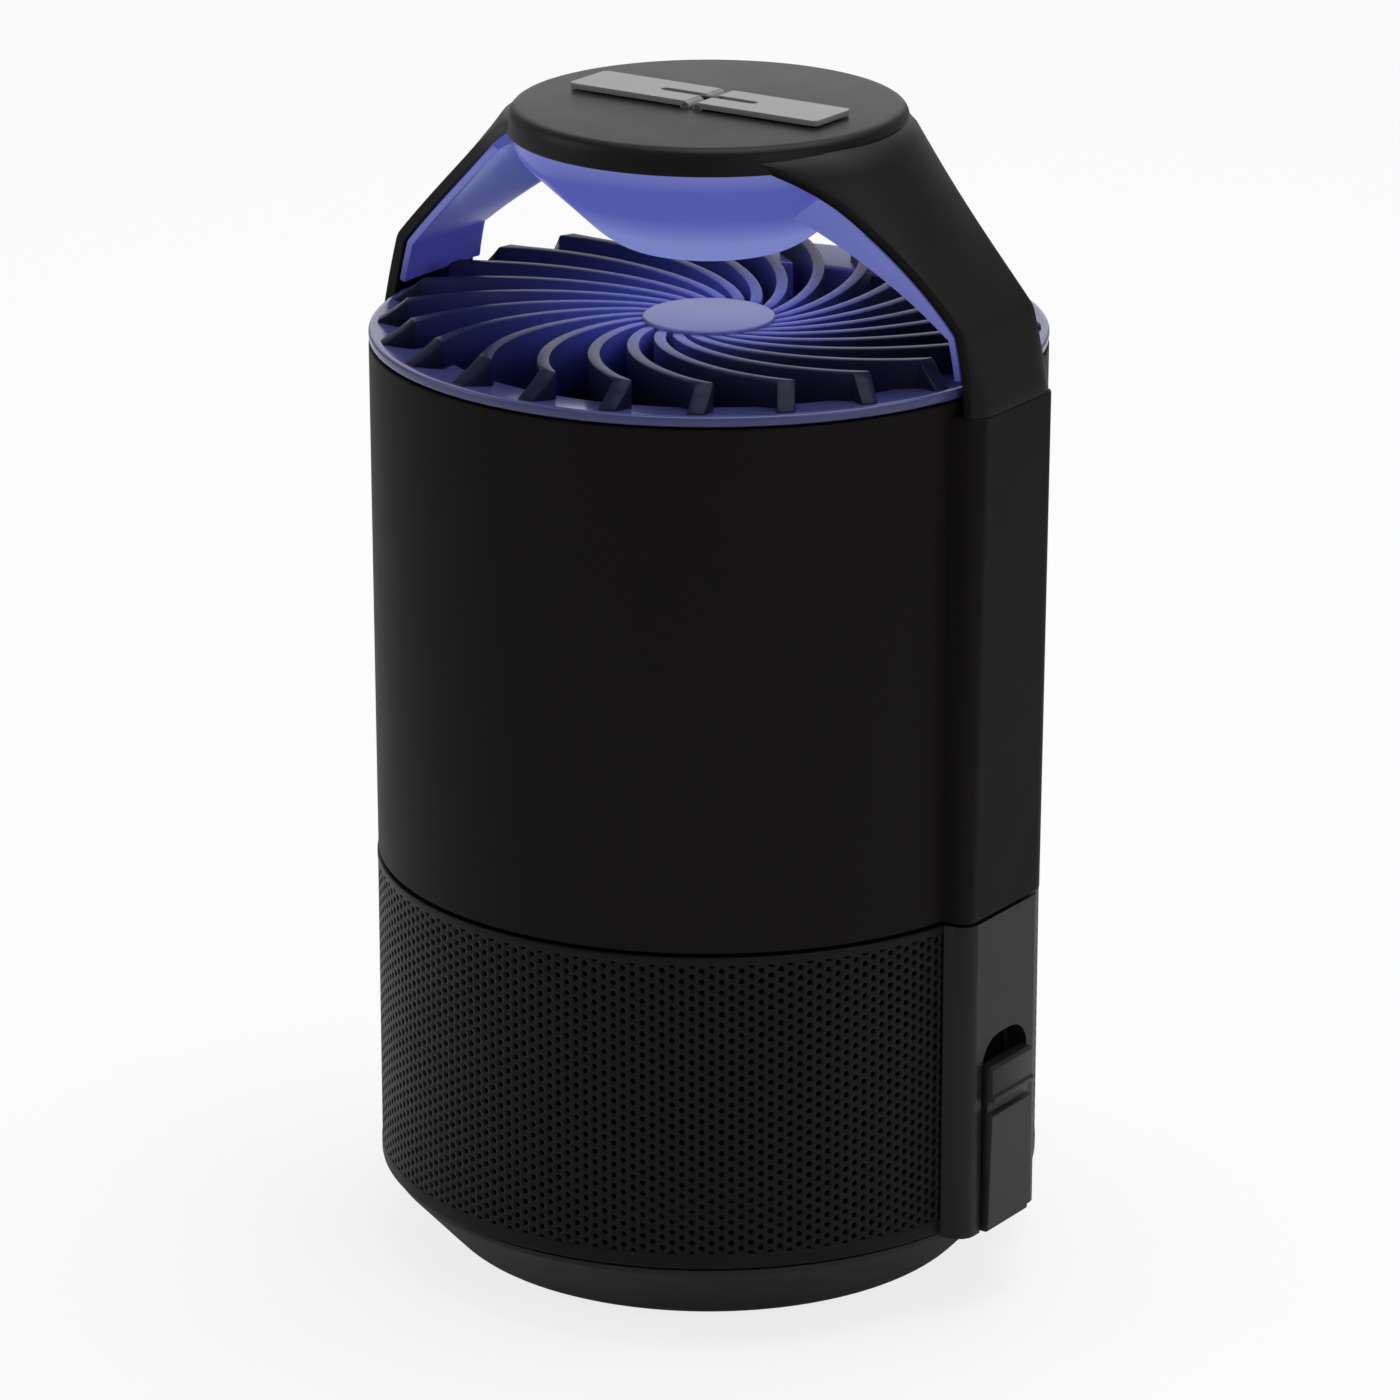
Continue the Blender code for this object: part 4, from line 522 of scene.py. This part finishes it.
# Stage
floor_material = bpy.data.materials.new("pale_floor")
floor_material.use_nodes = True
tree = floor_material.node_tree
tree.nodes.clear()
path = tree.nodes.new("ShaderNodeLightPath")
matte = tree.nodes.new("ShaderNodeBsdfDiffuse")
matte.inputs["Color"].default_value = (0.88, 0.88, 0.88, 1.0)
lift = tree.nodes.new("ShaderNodeEmission")
lift.inputs["Strength"].default_value = 1.0
seen = tree.nodes.new("ShaderNodeMath")
seen.operation = "MAXIMUM"
share = tree.nodes.new("ShaderNodeMath")
share.operation = "MULTIPLY"
share.inputs[1].default_value = 0.8
mix = tree.nodes.new("ShaderNodeMixShader")
out = tree.nodes.new("ShaderNodeOutputMaterial")
tree.links.new(path.outputs["Is Camera Ray"], seen.inputs[0])
tree.links.new(path.outputs["Is Transmission Ray"], seen.inputs[1])
tree.links.new(seen.outputs[0], share.inputs[0])
tree.links.new(share.outputs[0], mix.inputs["Fac"])
tree.links.new(matte.outputs[0], mix.inputs[1])
tree.links.new(lift.outputs[0], mix.inputs[2])
tree.links.new(mix.outputs[0], out.inputs["Surface"])
ground = bmesh.new()
bmesh.ops.create_grid(ground, x_segments=1, y_segments=1, size=6.0)
mesh = bpy.data.meshes.new("floor")
ground.to_mesh(mesh)
ground.free()
mesh.materials.append(floor_material)
floor = bpy.data.objects.new("floor", mesh)
bpy.context.scene.collection.objects.link(floor)

world = bpy.data.worlds.new("studio")
bpy.context.scene.world = world
world.use_nodes = True
tree = world.node_tree
tree.nodes.clear()
path = tree.nodes.new("ShaderNodeLightPath")
seen = tree.nodes.new("ShaderNodeMath")
seen.operation = "MAXIMUM"
level = tree.nodes.new("ShaderNodeMapRange")
level.inputs["To Min"].default_value = 0.45
level.inputs["To Max"].default_value = 1.0
glow = tree.nodes.new("ShaderNodeBackground")
out = tree.nodes.new("ShaderNodeOutputWorld")
tree.links.new(path.outputs["Is Camera Ray"], seen.inputs[0])
tree.links.new(path.outputs["Is Transmission Ray"], seen.inputs[1])
tree.links.new(seen.outputs[0], level.inputs["Value"])
tree.links.new(level.outputs["Result"], glow.inputs["Strength"])
tree.links.new(glow.outputs[0], out.inputs["Surface"])


def softbox(name, spot, aim, size, power):
    """A square soft lamp that looks at a point."""
    lamp = bpy.data.lights.new(name, "AREA")
    lamp.shape, lamp.size, lamp.energy = "SQUARE", size, power
    thing = bpy.data.objects.new(name, lamp)
    thing.location = spot
    thing.rotation_euler = (Vector(aim) - Vector(spot)).to_track_quat("-Z", "Y").to_euler()
    bpy.context.scene.collection.objects.link(thing)


softbox("top_softbox", (0.1, 0.25, 1.3), (0.0, 0.0, 0.1), 1.0, 11.0)
softbox("left_softbox", (-1.1, -0.7, 0.7), (0.0, 0.0, 0.1), 0.7, 3.4)
softbox("right_softbox", (1.2, -0.3, 0.6), (0.0, 0.0, 0.1), 0.6, 2.5)
softbox("back_softbox", (-0.85, 1.25, 0.62), (0.0, 0.0, 0.17), 1.0, 2.8)

# Camera at the photograph's angle
TURN, RISE, DISTANCE, FOCAL = math.radians(34.3), math.radians(18.18), 1.1944, 6551.3
target = Vector((0.0, 0.0, 0.110))
spot = target + DISTANCE * Vector((math.sin(TURN) * math.cos(RISE), -math.cos(TURN) * math.cos(RISE), math.sin(RISE)))
ahead = (target - spot).normalized()
right = ahead.cross(Vector((0.0, 0.0, 1.0))).normalized()
up = right.cross(ahead)
aim = target + right * DISTANCE * math.tan(math.radians(-0.0764)) + up * DISTANCE * math.tan(math.radians(-0.3616))
lens = bpy.data.cameras.new("camera")
lens.sensor_width = 36.0
lens.lens = FOCAL / 1400.0 * lens.sensor_width
lens.clip_start = 0.01
camera = bpy.data.objects.new("camera", lens)
camera.location = spot
camera.rotation_euler = (aim - spot).to_track_quat("-Z", "Y").to_euler()
bpy.context.scene.collection.objects.link(camera)
bpy.context.scene.camera = camera
bpy.context.scene.view_settings.view_transform = "Standard"
